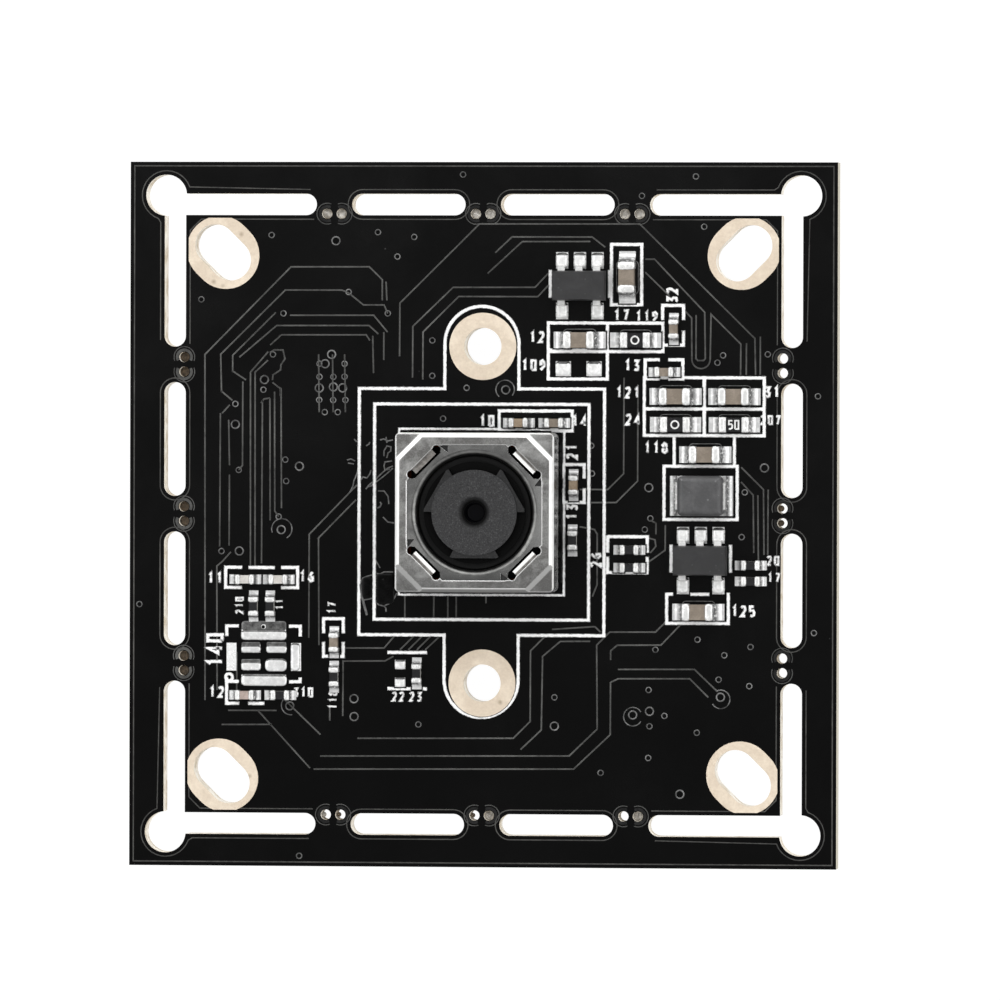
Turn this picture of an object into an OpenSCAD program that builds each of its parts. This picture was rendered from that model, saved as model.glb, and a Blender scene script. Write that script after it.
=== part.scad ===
// Autofocus camera board.
// A square circuit board with break-off rails carries a voice-coil focus module,
// its supply parts on the front, and the processor, memory and cable socket on the back.
// The origin is the centre of the board's back face, +Z points out through the lens.

/* [Board] */
// Width of the board with its break-off rails
board_w = 38; // [37.4:0.1:40]
// Height of the board with its break-off rails
board_h = 37.7; // [37.4:0.1:40]
// Thickness of the board
board_t = 1.6; // [1:0.1:2]
// Side of the core that stays when the rails are snapped off
core_side = 32; // [31.8:0.1:32.4]
// Width of the routed slots round the core
slot_w = 1.15; // [1:0.05:1.3]
// Distance between the tabs that join core and rails
tab_pitch = 8; // [7:0.5:9]
// Width of a tab
tab_w = 1.9; // [1.7:0.1:2.4]
// Diameter of a break-line perforation
bite_d = 0.55; // [0.4:0.05:0.65]
// Distance between the two perforations of a tab
bite_pitch = 0.78; // [0.7:0.02:0.9]
// Distance of the break line outside the core's edge
bite_offset = 0.08; // [0:0.02:0.2]
// Radius of the round relief at each corner of the slots
relief_r = 1.1; // [0.9:0.05:1.2]

/* [Mounting] */
// Distance between the oblong mounting holes, both ways
mount_pitch = 28; // [27:0.5:28.5]
// Width of a mounting hole
mount_hole_w = 2.2; // [2:0.1:2.6]
// Length of a mounting hole, along its diagonal
mount_hole_l = 3.35; // [2.8:0.05:3.6]
// Width of the land round a mounting hole
mount_land_w = 3.6; // [3.2:0.1:4]
// Length of the land round a mounting hole
mount_land_l = 4.05; // [4:0.05:4.6]
// Distance that the lands keep from the core's edge
land_pullback = 0.15; // [0.05:0.05:0.3]
// Distance between the two lens-holder holes
holder_pitch = 18; // [17.6:0.1:20]
// Diameter of a lens-holder hole
holder_hole_d = 2; // [1.8:0.1:2.4]
// Diameter of the land round a lens-holder hole
holder_land_d = 3.6; // [3:0.1:4]
// Height of the bare lands above the board
land_t = 0.04; // [0.02:0.01:0.08]

/* [Pads and legend] */
// Height of a tinned pad above the board
pad_t = 0.05; // [0.03:0.01:0.1]
// Width of the legend's lines
ink_w = 0.18; // [0.12:0.02:0.24]
// Height of the legend's ink
ink_t = 0.03; // [0.02:0.01:0.05]
// Gap between the legend and any pad
ink_gap = 0.06; // [0.04:0.02:0.12]
// Side of the legend's inner square round the lens module
inner_outline = 11.7; // [11.2:0.1:12.4]
// Side of the legend's outer square, which goes round the lens-holder holes
outer_outline = 13.35; // [12.8:0.05:14]
// Radius of that outline's round ends
outline_end_r = 2.08; // [2.04:0.02:2.3]

/* [Large ceramic capacitors] */
// Length
cap_l = 1.65; // [1.5:0.05:1.8]
// Width
cap_w = 0.9; // [0.75:0.05:0.95]
// Height
cap_h = 0.85; // [0.6:0.05:0.9]

/* [Large resistors] */
// Length
res_l = 1.6; // [1.5:0.05:1.7]
// Width
res_w = 0.82; // [0.7:0.02:0.9]
// Height
res_h = 0.45; // [0.4:0.05:0.6]

/* [Small chip parts] */
// Length
chip_l = 1.0; // [0.9:0.05:1.1]
// Width
chip_w = 0.52; // [0.45:0.01:0.56]
// Height of a small capacitor
chip_cap_h = 0.5; // [0.35:0.05:0.55]
// Height of a small resistor
chip_res_h = 0.35; // [0.3:0.05:0.4]

/* [Terminations and solder] */
// Length of the metal end of a chip part, as a share of its length
end_share = 0.24; // [0.18:0.02:0.3]
// Height by which the metal ends stand proud of the chip part's body
end_proud = 0.04; // [0.01:0.01:0.05]
// Length of the solder fillet at a large chip part
toe_large = 0.58; // [0.4:0.02:0.6]
// Length of the solder fillet at a small chip part
toe_small = 0.36; // [0.26:0.02:0.38]

/* [Regulators] */
// Width of the moulded body
reg_w = 2.9; // [2.7:0.05:3.1]
// Depth of the moulded body
reg_d = 1.6; // [1.5:0.05:1.7]
// Height of the moulded body
reg_h = 1.1; // [0.9:0.05:1.3]
// Height of the body's underside above the pads
reg_standoff = 0.08; // [0.04:0.02:0.15]
// Distance between the leads
lead_pitch = 0.95; // [0.92:0.01:0.98]
// Width of a lead
lead_w = 0.4; // [0.3:0.05:0.5]
// Thickness of a lead
lead_t = 0.15; // [0.1:0.01:0.18]
// Distance between the tips of opposite leads
lead_span = 2.8; // [2.6:0.1:3]

/* [Power inductor] */
// Length of the core
ind_l = 2.45; // [2.2:0.05:2.6]
// Width of the core
ind_w = 2.15; // [2:0.05:2.3]
// Height of the core
ind_h = 1.2; // [0.9:0.1:1.4]
// Radius of the core's rounded edges
ind_round = 0.34; // [0.2:0.02:0.4]
// Thickness of the metal end straps
ind_strap_t = 0.12; // [0.08:0.02:0.2]
// Length of the solder fillet outside a strap
ind_toe = 0.35; // [0.3:0.05:0.4]

/* [Focus motor] */
// Side of the can
can_side = 8.5; // [8.3:0.05:8.8]
// Thickness of the can's walls
can_wall = 0.15; // [0.1:0.01:0.18]
// Thickness of the can's top
can_top_t = 0.25; // [0.24:0.01:0.3]
// Height of the can
can_h = 2.55; // [2.5:0.05:3]
// Radius of the can's rounded upper edges
can_round = 0.28; // [0.16:0.02:0.32]
// Depth of the corner steps in the can's top
can_step = 0.12; // [0.06:0.02:0.14]
// Length of a corner step's legs
can_corner = 1.4; // [1.2:0.05:1.6]
// Width of the slope that leads down to a corner step
step_slope = 0.22; // [0.1:0.02:0.3]
// Depth of the sunk middle of the can's top
can_recess = 0.1; // [0.06:0.01:0.12]
// Half width of the sunk middle
recess_half = 3.6; // [3.5:0.02:3.7]
// Radius of the can's round opening
opening_r = 3.08; // [3.04:0.01:3.12]
// Radius of the rolled edge of that opening
opening_round = 0.3; // [0.2:0.02:0.32]
// Distance from the axis to the outer edge of a slanted window
window_out = 3.98; // [3.92:0.01:4]
// Width of a slanted window
window_w = 0.45; // [0.36:0.01:0.48]
// Length of a slanted window
window_l = 2.1; // [1.9:0.05:2.3]
// Width of the tongue bent down from a window
tongue_w = 1.5; // [1.3:0.05:1.6]
// Length of the tongue
tongue_h = 1.15; // [0.8:0.05:1.3]
// Thickness of the tongue
tongue_t = 0.12; // [0.08:0.01:0.14]
// Travel of the lens
focus_travel = 0.3; // [0.1:0.05:0.35]

/* [Lens] */
// Radius of the lens barrel
barrel_r = 2.72; // [2.66:0.01:2.76]
// Radius of the barrel's raised front face
face_r = 2.28; // [2.1:0.02:2.34]
// Distance from the axis to the flat edge of a lug
lug_flat = 2.42; // [2.36:0.01:2.5]
// Depth of the notches between the lugs
notch_depth = 0.28; // [0.1:0.02:0.3]
// Radius of the aperture
aperture_r = 0.56; // [0.4:0.02:0.7]
// Radius of the cone in front of the aperture
dimple_r = 0.86; // [0.8:0.02:1]
// Radius of the front lens element
front_lens_r = 1.1; // [1:0.05:1.2]
// Radius of the middle lens element
middle_lens_r = 1.6; // [1.5:0.05:1.7]
// Radius of the rear lens element
rear_lens_r = 2.1; // [2:0.05:2.2]

/* [Sensor housing] */
// Side of the plastic housing under the motor
housing_side = 8.3; // [8.1:0.05:8.35]
// Height of the housing
housing_h = 1.15; // [1.1:0.05:1.4]
// Thickness of the housing's walls
housing_wall = 0.75; // [0.6:0.05:0.9]
// Width of the image sensor
sensor_w = 6.2; // [5.6:0.1:6.4]
// Depth of the image sensor
sensor_d = 5.6; // [5:0.1:6.2]
// Thickness of the image sensor with its cover glass
sensor_t = 0.7; // [0.5:0.05:0.75]
// Width of the infrared filter
filter_w = 5.4; // [5:0.1:5.6]
// Depth of the infrared filter
filter_d = 4.6; // [4.2:0.1:5]
// Thickness of the infrared filter
filter_t = 0.21; // [0.15:0.01:0.24]

/* [Back of the board] */
// Side of the camera processor's package
proc_side = 8; // [7:0.5:9]
// Height of that package
proc_h = 0.85; // [0.7:0.05:0.9]
// Leads along one side of that package
proc_leads = 17; // [11:2:19]
// Length of the flash memory's body
flash_l = 4.9; // [4.7:0.1:5.2]
// Width of the flash memory's body
flash_w = 3.9; // [3.7:0.1:4.1]
// Height of the flash memory's body
flash_h = 1.45; // [1.2:0.05:1.6]
// Length of the clock crystal
crystal_l = 3.2; // [3:0.1:3.4]
// Width of the clock crystal
crystal_w = 2.5; // [2.3:0.1:2.7]
// Height of the clock crystal
crystal_h = 0.75; // [0.6:0.05:0.9]
// Contacts of the cable socket
socket_pins_n = 4; // [3:1:5]
// Distance between the contacts
socket_pitch = 1.25; // [1.2:0.05:1.3]
// Depth of the cable socket
socket_d = 4.3; // [4:0.1:4.6]
// Height of the cable socket
socket_h = 3.4; // [3.2:0.1:3.6]
// Wall of the cable socket
socket_wall = 0.6; // [0.5:0.05:0.7]

/* [Hidden] */
$fn = 48;
tiny = 0.01;                  // overlap that makes a cut run through a face
fit = 0.03;                   // radial gap between parts that are threaded or glued together

// Every node, in the order in which the module goes together.

// Places on the board: [x, y, turn]. Front parts first.
cap_places = [[7.75, 12.7, 90], [5.2, 9.35, 0], [10.35, 6.35, 0], [13.5, 6.35, 0],
              [11.95, 3.25, 0], [11.6, -5.15, 0]];
res_places = [[8.2, 9.35, 0], [10.35, 4.85, 0], [13.5, 4.85, 0]];
chip_cap_places = [[10.25, 9.95, 90], [9.75, 7.65, 0], [1.95, 4.92, 0], [3.85, 4.92, 0],
                   [4.9, 1.6, 90], [-12.75, -3.5, 0], [-10.95, -3.5, 0],
                   [-7.95, -6.85, 90], [-12.75, -9.7, 0]];
chip_res_places = [[14.4, -2.65, 0], [14.4, -3.5, 0], [7.9, -1.85, 0], [7.9, -2.8, 0],
                   [4.85, -1.35, 90], [-12.3, -4.95, 90], [-11.4, -4.95, 90],
                   [-10.85, -9.7, 0], [-7.95, -8.7, 90], [-3.5, -8.5, 90]];
reg_places = [[5.2, 12.25, 0], [11.72, -2.4, 0]];
ind_place = [11.75, 1.05, 0];
empty_large = [5.15, 7.82, 0];
empty_small = [-4.4, -8.5, 90];
mic_place = [-11.75, -7.65, 0];
module_place = [-0.05, 0.15];
proc_place = [-8.15, 7.05, 0];
flash_place = [8.6, -2.6, 0];
crystal_place = [-8.2, -0.2, 0];
socket_place = [5.8, -13.45, 0];
rear_places = [[-2.2, 7.6, 90], [-2.2, 5.4, 90], [-10.2, 1.9, 0], [-6.2, -2.9, 0], [-10.6, -2.9, 0],
               [8.6, 1.2, 0], [12.6, -2.6, 90], [0.9, -12.6, 90]];

// Levels above the board's back face.
top_z = board_t;
seat_z = board_t + pad_t;
housing_top = top_z + housing_h;
flange_t = 0.2;               // thickness of the motor base's flange, on which the can stands
base_t = 0.35;
base_top = housing_top + base_t;
can_bottom = housing_top + flange_t;
can_top = can_bottom + can_h;
ceiling_z = can_top - can_top_t;
lip_t = 0.16;                 // wall of the collar that the rolled edge forms inside the can
lip_h = 0.2;                  // reach of that collar below the can's top sheet

// Motor: everything follows the can's inside, the opening and the lens.
cavity = can_side - 2 * can_wall;
inside = cavity - 2 * fit;    // side of the parts that fill the can
spring_t = 0.04;
carrier_bottom = base_top + spring_t;
carrier_top = ceiling_z - lip_h - focus_travel - spring_t - 0.06;
collar_r = barrel_r + 0.26;   // the carrier's collar, which shows in the can's opening
collar_top = can_top - 0.5;
ring_in = opening_r + 0.05;   // the springs' inner rings keep behind the can's rim
carrier_r = ring_in + 0.18;
coil_half = 3.5;              // flat sides of the coil's inside
coil_diag = window_out + 0.15;
coil_t = 0.2;
coil_bottom = carrier_bottom + 0.25;
skirt_top = carrier_top - focus_travel - 0.06;
coil_h = skirt_top - coil_bottom - 0.05;
magnet_diag = coil_diag + coil_t + 0.15;
frame_half = coil_half + coil_t + 0.1;
frame_diag = magnet_diag - 0.1;
tongue_out = window_out - 0.2;
tongue_top = can_h - can_recess - 0.06;
arm_in = carrier_r + 0.24;    // a spring arm's distance from the axis
arm_w = 0.1;

// Terminals of the motor.
pin_t = 0.12;
pin_w = 0.5;
pin_y = 2.6;
pin_in = housing_side / 2 + fit;

// Lens barrel: levels of its steps.
barrel_top = can_top - 0.02;
barrel_bottom = base_top - 0.15;
lug_drop = 0.05;
cone_depth = 0.2;
web_bottom = barrel_top - 0.6;
front_seat = web_bottom - 0.45;
middle_seat = front_seat - 0.6;
retainer_t = 0.22;
rear_seat = barrel_bottom + retainer_t + 0.03;

// Legend and pads.
large_pad = 0.35;             // length of a pad under a large chip part
small_pad = 0.22;             // length of a pad under a small chip part
reg_pad_w = 0.66;
reg_pad_in = 0.9;             // distance from a regulator's middle to the inner end of its pads
reg_pad_out = 1.8;
empty_large_pad = [0.82, 0.8];
empty_large_pitch = 1.65;
empty_small_pad = [0.5, 0.56];
empty_small_pitch = 0.95;

// Back parts.
flash_pitch = 1.27;
flash_span = 6;
flash_knee = 2.3;
socket_w = (socket_pins_n - 1) * socket_pitch + 3;
function socket_x(i) = (i - (socket_pins_n + 1) / 2) * socket_pitch;

function corners() = [[-1, 1], [1, 1], [-1, -1], [1, -1]];
// Slant of each mounting hole, in the order of corners().
mount_slants = [-45, 45, -45, -45];

// ---------- shared shapes ----------

module rounded_square(w, d, r) {
    square([w - 2 * r, d], center = true);
    square([w, d - 2 * r], center = true);
    for (c = corners()) translate([c[0] * (w / 2 - r), c[1] * (d / 2 - r)]) circle(r);
}

// An oblong with true round ends, along X.
module oblong(l, w) {
    square([l - w, w], center = true);
    for (s = [-1, 1]) translate([s * (l - w) / 2, 0]) circle(w / 2);
}

// A block with all its edges rounded, standing on z = 0.
module rounded_block(l, w, h, r) {
    intersection() {
        linear_extrude(h) rounded_square(l, w, r);
        translate([0, 0, h / 2]) rotate([90, 0, 0]) linear_extrude(w, center = true) rounded_square(l, h, r);
        translate([0, 0, h / 2]) rotate([90, 0, 90]) linear_extrude(l, center = true) rounded_square(w, h, r);
    }
}

module at(p, z) {
    translate([p[0], p[1], z]) rotate([0, 0, len(p) > 2 ? p[2] : 0]) children();
}

// Puts a part that is drawn standing on z = 0 on the board's back.
module on_back() {
    mirror([0, 0, 1]) children();
}

// A straight stretch of legend line between two points that share an x or a y.
module ink_line(a, b) {
    translate([(a[0] + b[0]) / 2, (a[1] + b[1]) / 2])
        square([abs(a[0] - b[0]) + ink_w, abs(a[1] - b[1]) + ink_w], center = true);
}

module ink_box(w, h) {
    difference() {
        square([w, h], center = true);
        square([w - 2 * ink_w, h - 2 * ink_w], center = true);
    }
}

// A box whose long sides are open in the middle.
module ink_bracket(w, h, gap) {
    difference() {
        ink_box(w, h);
        square([gap, h + 1], center = true);
    }
}

// ---------- board ----------

module rail_slots() {
    band = core_side / 2 + slot_w / 2;
    leg_end = tab_pitch + tab_w / 2;
    leg = band - leg_end;
    for (a = [0:90:270]) rotate(a) {
        for (s = [-1, 1]) translate([s * tab_pitch / 2, band]) oblong(tab_pitch - tab_w, slot_w);
        // the two legs that meet at this corner
        translate([leg_end + slot_w / 2, band - slot_w / 2]) square([leg, slot_w]);
        translate([leg_end + slot_w / 2, band]) circle(slot_w / 2);
        translate([band - slot_w / 2, leg_end + slot_w / 2]) square([slot_w, leg]);
        translate([band, leg_end + slot_w / 2]) circle(slot_w / 2);
        translate([core_side / 2 + slot_w - relief_r / 12, core_side / 2 + slot_w - relief_r / 12])
            circle(relief_r);
    }
}

module perforations() {
    line = core_side / 2 + bite_offset;
    for (a = [0:90:270], t = [-1, 0, 1], s = [-1, 1])
        rotate(a) translate([t * tab_pitch + s * bite_pitch / 2, line]) circle(bite_d / 2);
}

module mounting_holes() {
    for (i = [0:3])
        translate(corners()[i] * mount_pitch / 2) rotate(mount_slants[i]) oblong(mount_hole_l, mount_hole_w);
}

module holder_holes() {
    for (s = [-1, 1]) translate([0, s * holder_pitch / 2]) circle(holder_hole_d / 2);
}

module circuit_board() {
    color([0.09, 0.09, 0.1]) linear_extrude(board_t) difference() {
        square([board_w, board_h], center = true);
        rail_slots();
        perforations();
        mounting_holes();
        holder_holes();
    }
}

module land_shapes() {
    difference() {
        union() {
            intersection() {
                for (i = [0:3])
                    translate(corners()[i] * mount_pitch / 2) rotate(mount_slants[i])
                        oblong(mount_land_l, mount_land_w);
                square(core_side - 2 * land_pullback, center = true);
            }
            for (s = [-1, 1]) translate([0, s * holder_pitch / 2]) circle(holder_land_d / 2);
        }
        mounting_holes();
        holder_holes();
    }
}

module plated_lands() {
    color([0.9, 0.85, 0.76]) {
        translate([0, 0, top_z]) linear_extrude(land_t) land_shapes();
        translate([0, 0, -land_t]) linear_extrude(land_t) land_shapes();
    }
}

// ---------- pads and solder ----------

// Footprint of the two pads of a chip part.
module pad_pair(l, w, under, toe) {
    for (s = [-1, 1]) translate([s * (l / 2 + (toe - under) / 2), 0]) square([under + toe, w], center = true);
}

module regulator_pads() {
    pad_l = reg_pad_out - reg_pad_in;
    mid = (reg_pad_out + reg_pad_in) / 2;
    for (x = [-1, 0, 1]) translate([x * lead_pitch, mid]) square([reg_pad_w, pad_l], center = true);
    for (x = [-1, 1]) translate([x * lead_pitch, -mid]) square([reg_pad_w, pad_l], center = true);
}

// The unfitted microphone footprint: a ring of four long pads round four square ones.
module microphone_pads() {
    for (s = [-1, 1]) {
        translate([0, s * 1.22]) square([2.4, 0.52], center = true);
        translate([s * 1.74, 0]) square([0.54, 1.5], center = true);
        translate([s * 0.69, 0.44]) square([1.0, 0.44], center = true);
        translate([s * 0.69, -0.44]) square([1.0, 0.5], center = true);
    }
}

// Footprint of an unfitted part's two pads.
module empty_pads(pad, pitch, grow) {
    for (s = [-1, 1]) translate([s * pitch / 2, 0]) square([pad[0] + 2 * grow, pad[1] + 2 * grow], center = true);
}

module bare_pad_shapes() {
    at(empty_large, 0) empty_pads(empty_large_pad, empty_large_pitch, 0);
    at(empty_small, 0) empty_pads(empty_small_pad, empty_small_pitch, 0);
    at(mic_place, 0) microphone_pads();
}

module bare_pads() {
    color([0.85, 0.85, 0.85]) translate([0, 0, top_z]) linear_extrude(pad_t) bare_pad_shapes();
}

// Every place on the front that the legend keeps clear of.
module fitted_pad_shapes(grow) {
    for (p = cap_places) at(p, 0) pad_pair(cap_l, cap_w + 2 * grow, large_pad + grow, toe_large + grow);
    for (p = res_places) at(p, 0) pad_pair(res_l, res_w + 2 * grow, large_pad + grow, toe_large + grow);
    for (p = chip_cap_places) at(p, 0) pad_pair(chip_l, chip_w + 2 * grow, small_pad + grow, toe_small + grow);
    for (p = chip_res_places) at(p, 0) pad_pair(chip_l, chip_w + 2 * grow, small_pad + grow, toe_small + grow);
    for (p = reg_places) at(p, 0) regulator_pads();
}

// Side view of a joint: a slab under the part's end, and a hollow-faced fillet that climbs the end.
module joint_profile(under, toe, climb) {
    span = norm([toe, climb]);
    r = 0.8 * span;
    reach = sqrt(r * r - span * span / 4);
    translate([-under, 0]) square([under + toe, pad_t]);
    difference() {
        square([toe, climb]);
        translate([toe / 2 + reach * climb / span, climb / 2 + pad_t / 2 + reach * toe / span]) circle(r);
    }
}

module joint_pair(l, w, under, toe, climb) {
    for (s = [0, 180]) rotate(s) translate([l / 2, w / 2, 0]) rotate([90, 0, 0])
        linear_extrude(w) joint_profile(under, toe, climb);
}

// Solder under and in front of a gull-wing lead's foot; the foot itself stays free.
module lead_joint(w, inner, outer, tip) {
    translate([-w / 2, 0, 0]) rotate([90, 0, 90]) linear_extrude(w) union() {
        translate([inner, 0]) square([outer - inner, pad_t]);
        difference() {
            translate([tip, 0]) square([outer - tip, pad_t + lead_t]);
            translate([outer + 0.1, pad_t + lead_t + 0.35]) circle(norm([outer + 0.1 - tip, 0.35]));
        }
    }
}

module regulator_joints() {
    for (x = [-1, 0, 1]) translate([x * lead_pitch, 0, 0])
        lead_joint(reg_pad_w, reg_pad_in, reg_pad_out, lead_span / 2);
    for (x = [-1, 1]) translate([x * lead_pitch, 0, 0]) rotate(180)
        lead_joint(reg_pad_w, reg_pad_in, reg_pad_out, lead_span / 2);
}

module solder_joints() {
    color([0.8, 0.8, 0.8]) {
        for (p = cap_places) at(p, top_z)
            joint_pair(cap_l, cap_w, large_pad, toe_large, 0.62 * cap_h);
        for (p = res_places) at(p, top_z)
            joint_pair(res_l, res_w, large_pad, toe_large, 0.8 * res_h);
        for (p = chip_cap_places) at(p, top_z)
            joint_pair(chip_l, chip_w, small_pad, toe_small, 0.7 * chip_cap_h);
        for (p = chip_res_places) at(p, top_z)
            joint_pair(chip_l, chip_w, small_pad, toe_small, 0.8 * chip_res_h);
        for (p = reg_places) at(p, top_z) regulator_joints();
        at(ind_place, top_z)
            joint_pair(ind_l + 2 * ind_strap_t, ind_w, 0.5, ind_toe, 0.35 * ind_h);
        at(module_place, top_z) for (s = [-1, 1])
            translate([-pin_in - pin_t / 2 - 0.02, s * pin_y, 0])
                linear_extrude(pad_t) square([pin_t + 0.1, pin_w + 0.3], center = true);
        on_back() {
            for (p = rear_places) at(p, 0)
                joint_pair(chip_l, chip_w, small_pad, toe_small, 0.7 * chip_cap_h);
            at(flash_place, 0) for (s = [0, 180], i = [-1.5:1.5])
                rotate(s) translate([i * flash_pitch, 0, 0])
                    lead_joint(0.6, flash_knee - 0.1, flash_span / 2 + 0.4, flash_span / 2);
            at(crystal_place, 0) linear_extrude(pad_t) for (c = corners())
                translate([c[0] * 1.05, c[1] * 0.8]) square([1.1, 0.9], center = true);
            at(socket_place, 0) linear_extrude(pad_t) {
                for (i = [1:socket_pins_n]) translate([socket_x(i), socket_d / 2 + 0.65])
                    square([0.7, 1.2], center = true);
                for (s = [-1, 1]) translate([s * (socket_w / 2 + 0.45), 0.3])
                    square([0.9, 1.8], center = true);
            }
        }
    }
}

// ---------- legend ----------

// The outer outline: a square whose upper and lower sides go round the lens-holder holes.
module holder_outline_shape(inset) {
    square(outer_outline - 2 * inset, center = true);
    for (s = [-1, 1]) {
        translate([0, s * holder_pitch / 4])
            square([2 * (outline_end_r - inset), holder_pitch / 2], center = true);
        translate([0, s * holder_pitch / 2]) circle(outline_end_r - inset);
    }
}

module module_legend() {
    thin = 0.13;
    difference() {
        holder_outline_shape(0);
        holder_outline_shape(ink_w);
    }
    ink_box(inner_outline, inner_outline);
    difference() {
        square(can_side + 0.5, center = true);
        square(can_side + 0.5 - 2 * thin, center = true);
    }
}

module part_legend() {
    // large capacitors and resistors
    translate([7.7, 12.85]) ink_box(1.8, 3.4);
    translate([5.1, 9.5]) ink_box(3.35, 1.7);
    translate([5.1, 8.04]) ink_box(3.35, 1.72);
    translate([8.17, 9.5]) ink_box(3.15, 1.7);
    translate([10.28, 6.52]) ink_box(3.4, 1.85);
    translate([13.48, 6.52]) ink_box(3.4, 1.85);
    translate([10.28, 4.98]) ink_box(3.4, 1.6);
    translate([13.48, 4.98]) ink_box(3.4, 1.6);
    for (x = [10.28, 13.5]) ink_line([x, 2.8], [x, 4.2]);
    translate([11.7, 1.21]) ink_box(4.1, 3.02);
    ink_line([9.9, -5.75], [9.9, -4.2]);
    ink_line([9.9, -5.75], [13.2, -5.75]);
    ink_line([13.2, -5.75], [13.2, -4.2]);
    ink_line([9.9, -4.2], [10.15, -4.2]);
    ink_line([11.25, -4.2], [12.1, -4.2]);
    // regulators: a line at each end of the body
    for (p = reg_places, s = [-1, 1])
        translate([p[0] + s * (reg_w / 2 + 0.14), p[1] + 0.1])
            square([ink_w, reg_d - 0.1], center = true);
    // small parts: brackets
    translate([10.2, 10.15]) rotate(90) ink_bracket(2.3, 1.3, 0.55);
    translate([9.72, 7.8]) ink_bracket(2.2, 1.2, 0.45);
    translate([2.85, 5.03]) ink_bracket(4.1, 1.24, 0.5);
    ink_line([2.2, 5.55], [3.35, 5.55]);
    translate([4.9, 1.69]) rotate(90) ink_bracket(2.2, 1.3, 0.5);
    translate([-11.88, -3.4]) ink_bracket(4.06, 1.26, 2.1);
    ink_line([-12.5, -2.87], [-11.25, -2.87]);
    translate([-8, -6.6]) rotate(90) ink_bracket(2.2, 1.24, 0.45);
    translate([7.79, -2.1]) rotate(90) ink_bracket(2.1, 2.3, 0.2);
    for (y = [-7.38, -9.32]) ink_line([-5, y], [-3.05, y]);
    // microphone: corners, with the pin mark at the lower left
    at(mic_place, 0) difference() {
        translate([-0.02, 0.16]) ink_box(4.15, 3.15);
        square([2.7, 5], center = true);
        square([5, 2.2], center = true);
    }
    at(mic_place, 0) difference() {
        translate([-1.87, -1.1]) circle(0.27);
        translate([-1.87, -1.1]) circle(0.1);
    }
    ink_line([-13.75, -10.15], [-13.75, -9.1]);
    ink_line([-13.75, -10.15], [-13.15, -10.15]);
    ink_line([-12.5, -10.15], [-11.8, -10.15]);
}

module board_legend() {
    color([0.95, 0.95, 0.95]) translate([0, 0, top_z]) linear_extrude(ink_t) difference() {
        union() {
            translate(module_place) module_legend();
            part_legend();
        }
        fitted_pad_shapes(ink_gap);
        bare_pad_room();
        at(ind_place, 0) square([ind_l + 2 * ind_strap_t + 2 * ind_toe + 2 * ink_gap, ind_w + 2 * ink_gap],
                                center = true);
        for (s = [-1, 1]) translate([0, s * holder_pitch / 2]) circle(holder_land_d / 2 + ink_gap / 2);
    }
}

// The bare pads with the legend's gap round them.
module bare_pad_room() {
    at(empty_large, 0) empty_pads(empty_large_pad, empty_large_pitch, ink_gap);
    at(empty_small, 0) empty_pads(empty_small_pad, empty_small_pitch, ink_gap);
}

// ---------- sensor and its housing ----------

module image_sensor() {
    color([0.25, 0.3, 0.35]) at(module_place, top_z) {
        linear_extrude(sensor_t - 0.3) rounded_square(sensor_w, sensor_d, 0.1);
        linear_extrude(sensor_t) square([sensor_w - 0.5, sensor_d - 0.5], center = true);
    }
}

module sensor_housing() {
    roof = housing_h - sensor_t - 0.05;
    color([0.08, 0.08, 0.08]) at(module_place, top_z) difference() {
        linear_extrude(housing_h) rounded_square(housing_side, housing_side, 0.2);
        translate([0, 0, -tiny]) linear_extrude(housing_h - roof + tiny)
            square(housing_side - 2 * housing_wall, center = true);
        linear_extrude(housing_h + tiny) square([filter_w - 0.7, filter_d - 0.7], center = true);
        translate([0, 0, housing_h - filter_t - 0.02]) linear_extrude(filter_t + 1)
            square([filter_w + 2 * fit, filter_d + 2 * fit], center = true);
    }
}

module infrared_filter() {
    color([0.6, 0.75, 0.85, 0.5]) at(module_place, housing_top - filter_t - 0.02)
        linear_extrude(filter_t) square([filter_w, filter_d], center = true);
}

// ---------- focus motor ----------

// A square with its corners cut off at 45 degrees.
module eight_sided(half, diag) {
    intersection() {
        square(2 * half, center = true);
        rotate(45) square(2 * diag, center = true);
    }
}

module motor_base() {
    color([0.1, 0.1, 0.1]) at(module_place, housing_top) difference() {
        union() {
            linear_extrude(flange_t) rounded_square(can_side - 0.06, can_side - 0.06, 0.3);
            linear_extrude(base_t) rounded_square(inside, inside, 0.2);
        }
        translate([0, 0, -tiny]) cylinder(h = base_t + 2 * tiny, r = barrel_r + 0.25);
        for (s = [-1, 1]) translate([-can_side / 2 - 1, s * pin_y - pin_w / 2 - fit, -tiny])
            cube([1.8, pin_w + 2 * fit, pin_t + fit + tiny]);
    }
}

// Two bent strips that lead the motor's current from the board up into its base.
module motor_terminals() {
    color([0.8, 0.7, 0.4]) at(module_place, 0) for (s = [-1, 1])
        translate([-pin_in - pin_t, s * pin_y - pin_w / 2, 0]) {
            translate([0, 0, seat_z]) cube([pin_t, pin_w, housing_top + pin_t - seat_z]);
            translate([0, 0, housing_top]) cube([0.7, pin_w, pin_t]);
        }
}

// Outline of the can seen from the side, with its rounded upper edges.
module can_profile() {
    r = can_round;
    translate([-can_side / 2, 0]) square([can_side, can_h - r]);
    translate([-can_side / 2 + r, 0]) square([can_side - 2 * r, can_h]);
    for (s = [-1, 1]) translate([s * (can_side / 2 - r), can_h - r]) circle(r);
}

// A window with a round relief at each end.
module window_shape() {
    mid = window_out - window_w / 2;
    translate([mid, 0]) square([window_w, window_l - 0.1], center = true);
    for (s = [-1, 1]) translate([mid + 0.05, s * (window_l / 2 - 0.1)]) circle(0.22);
}

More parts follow.
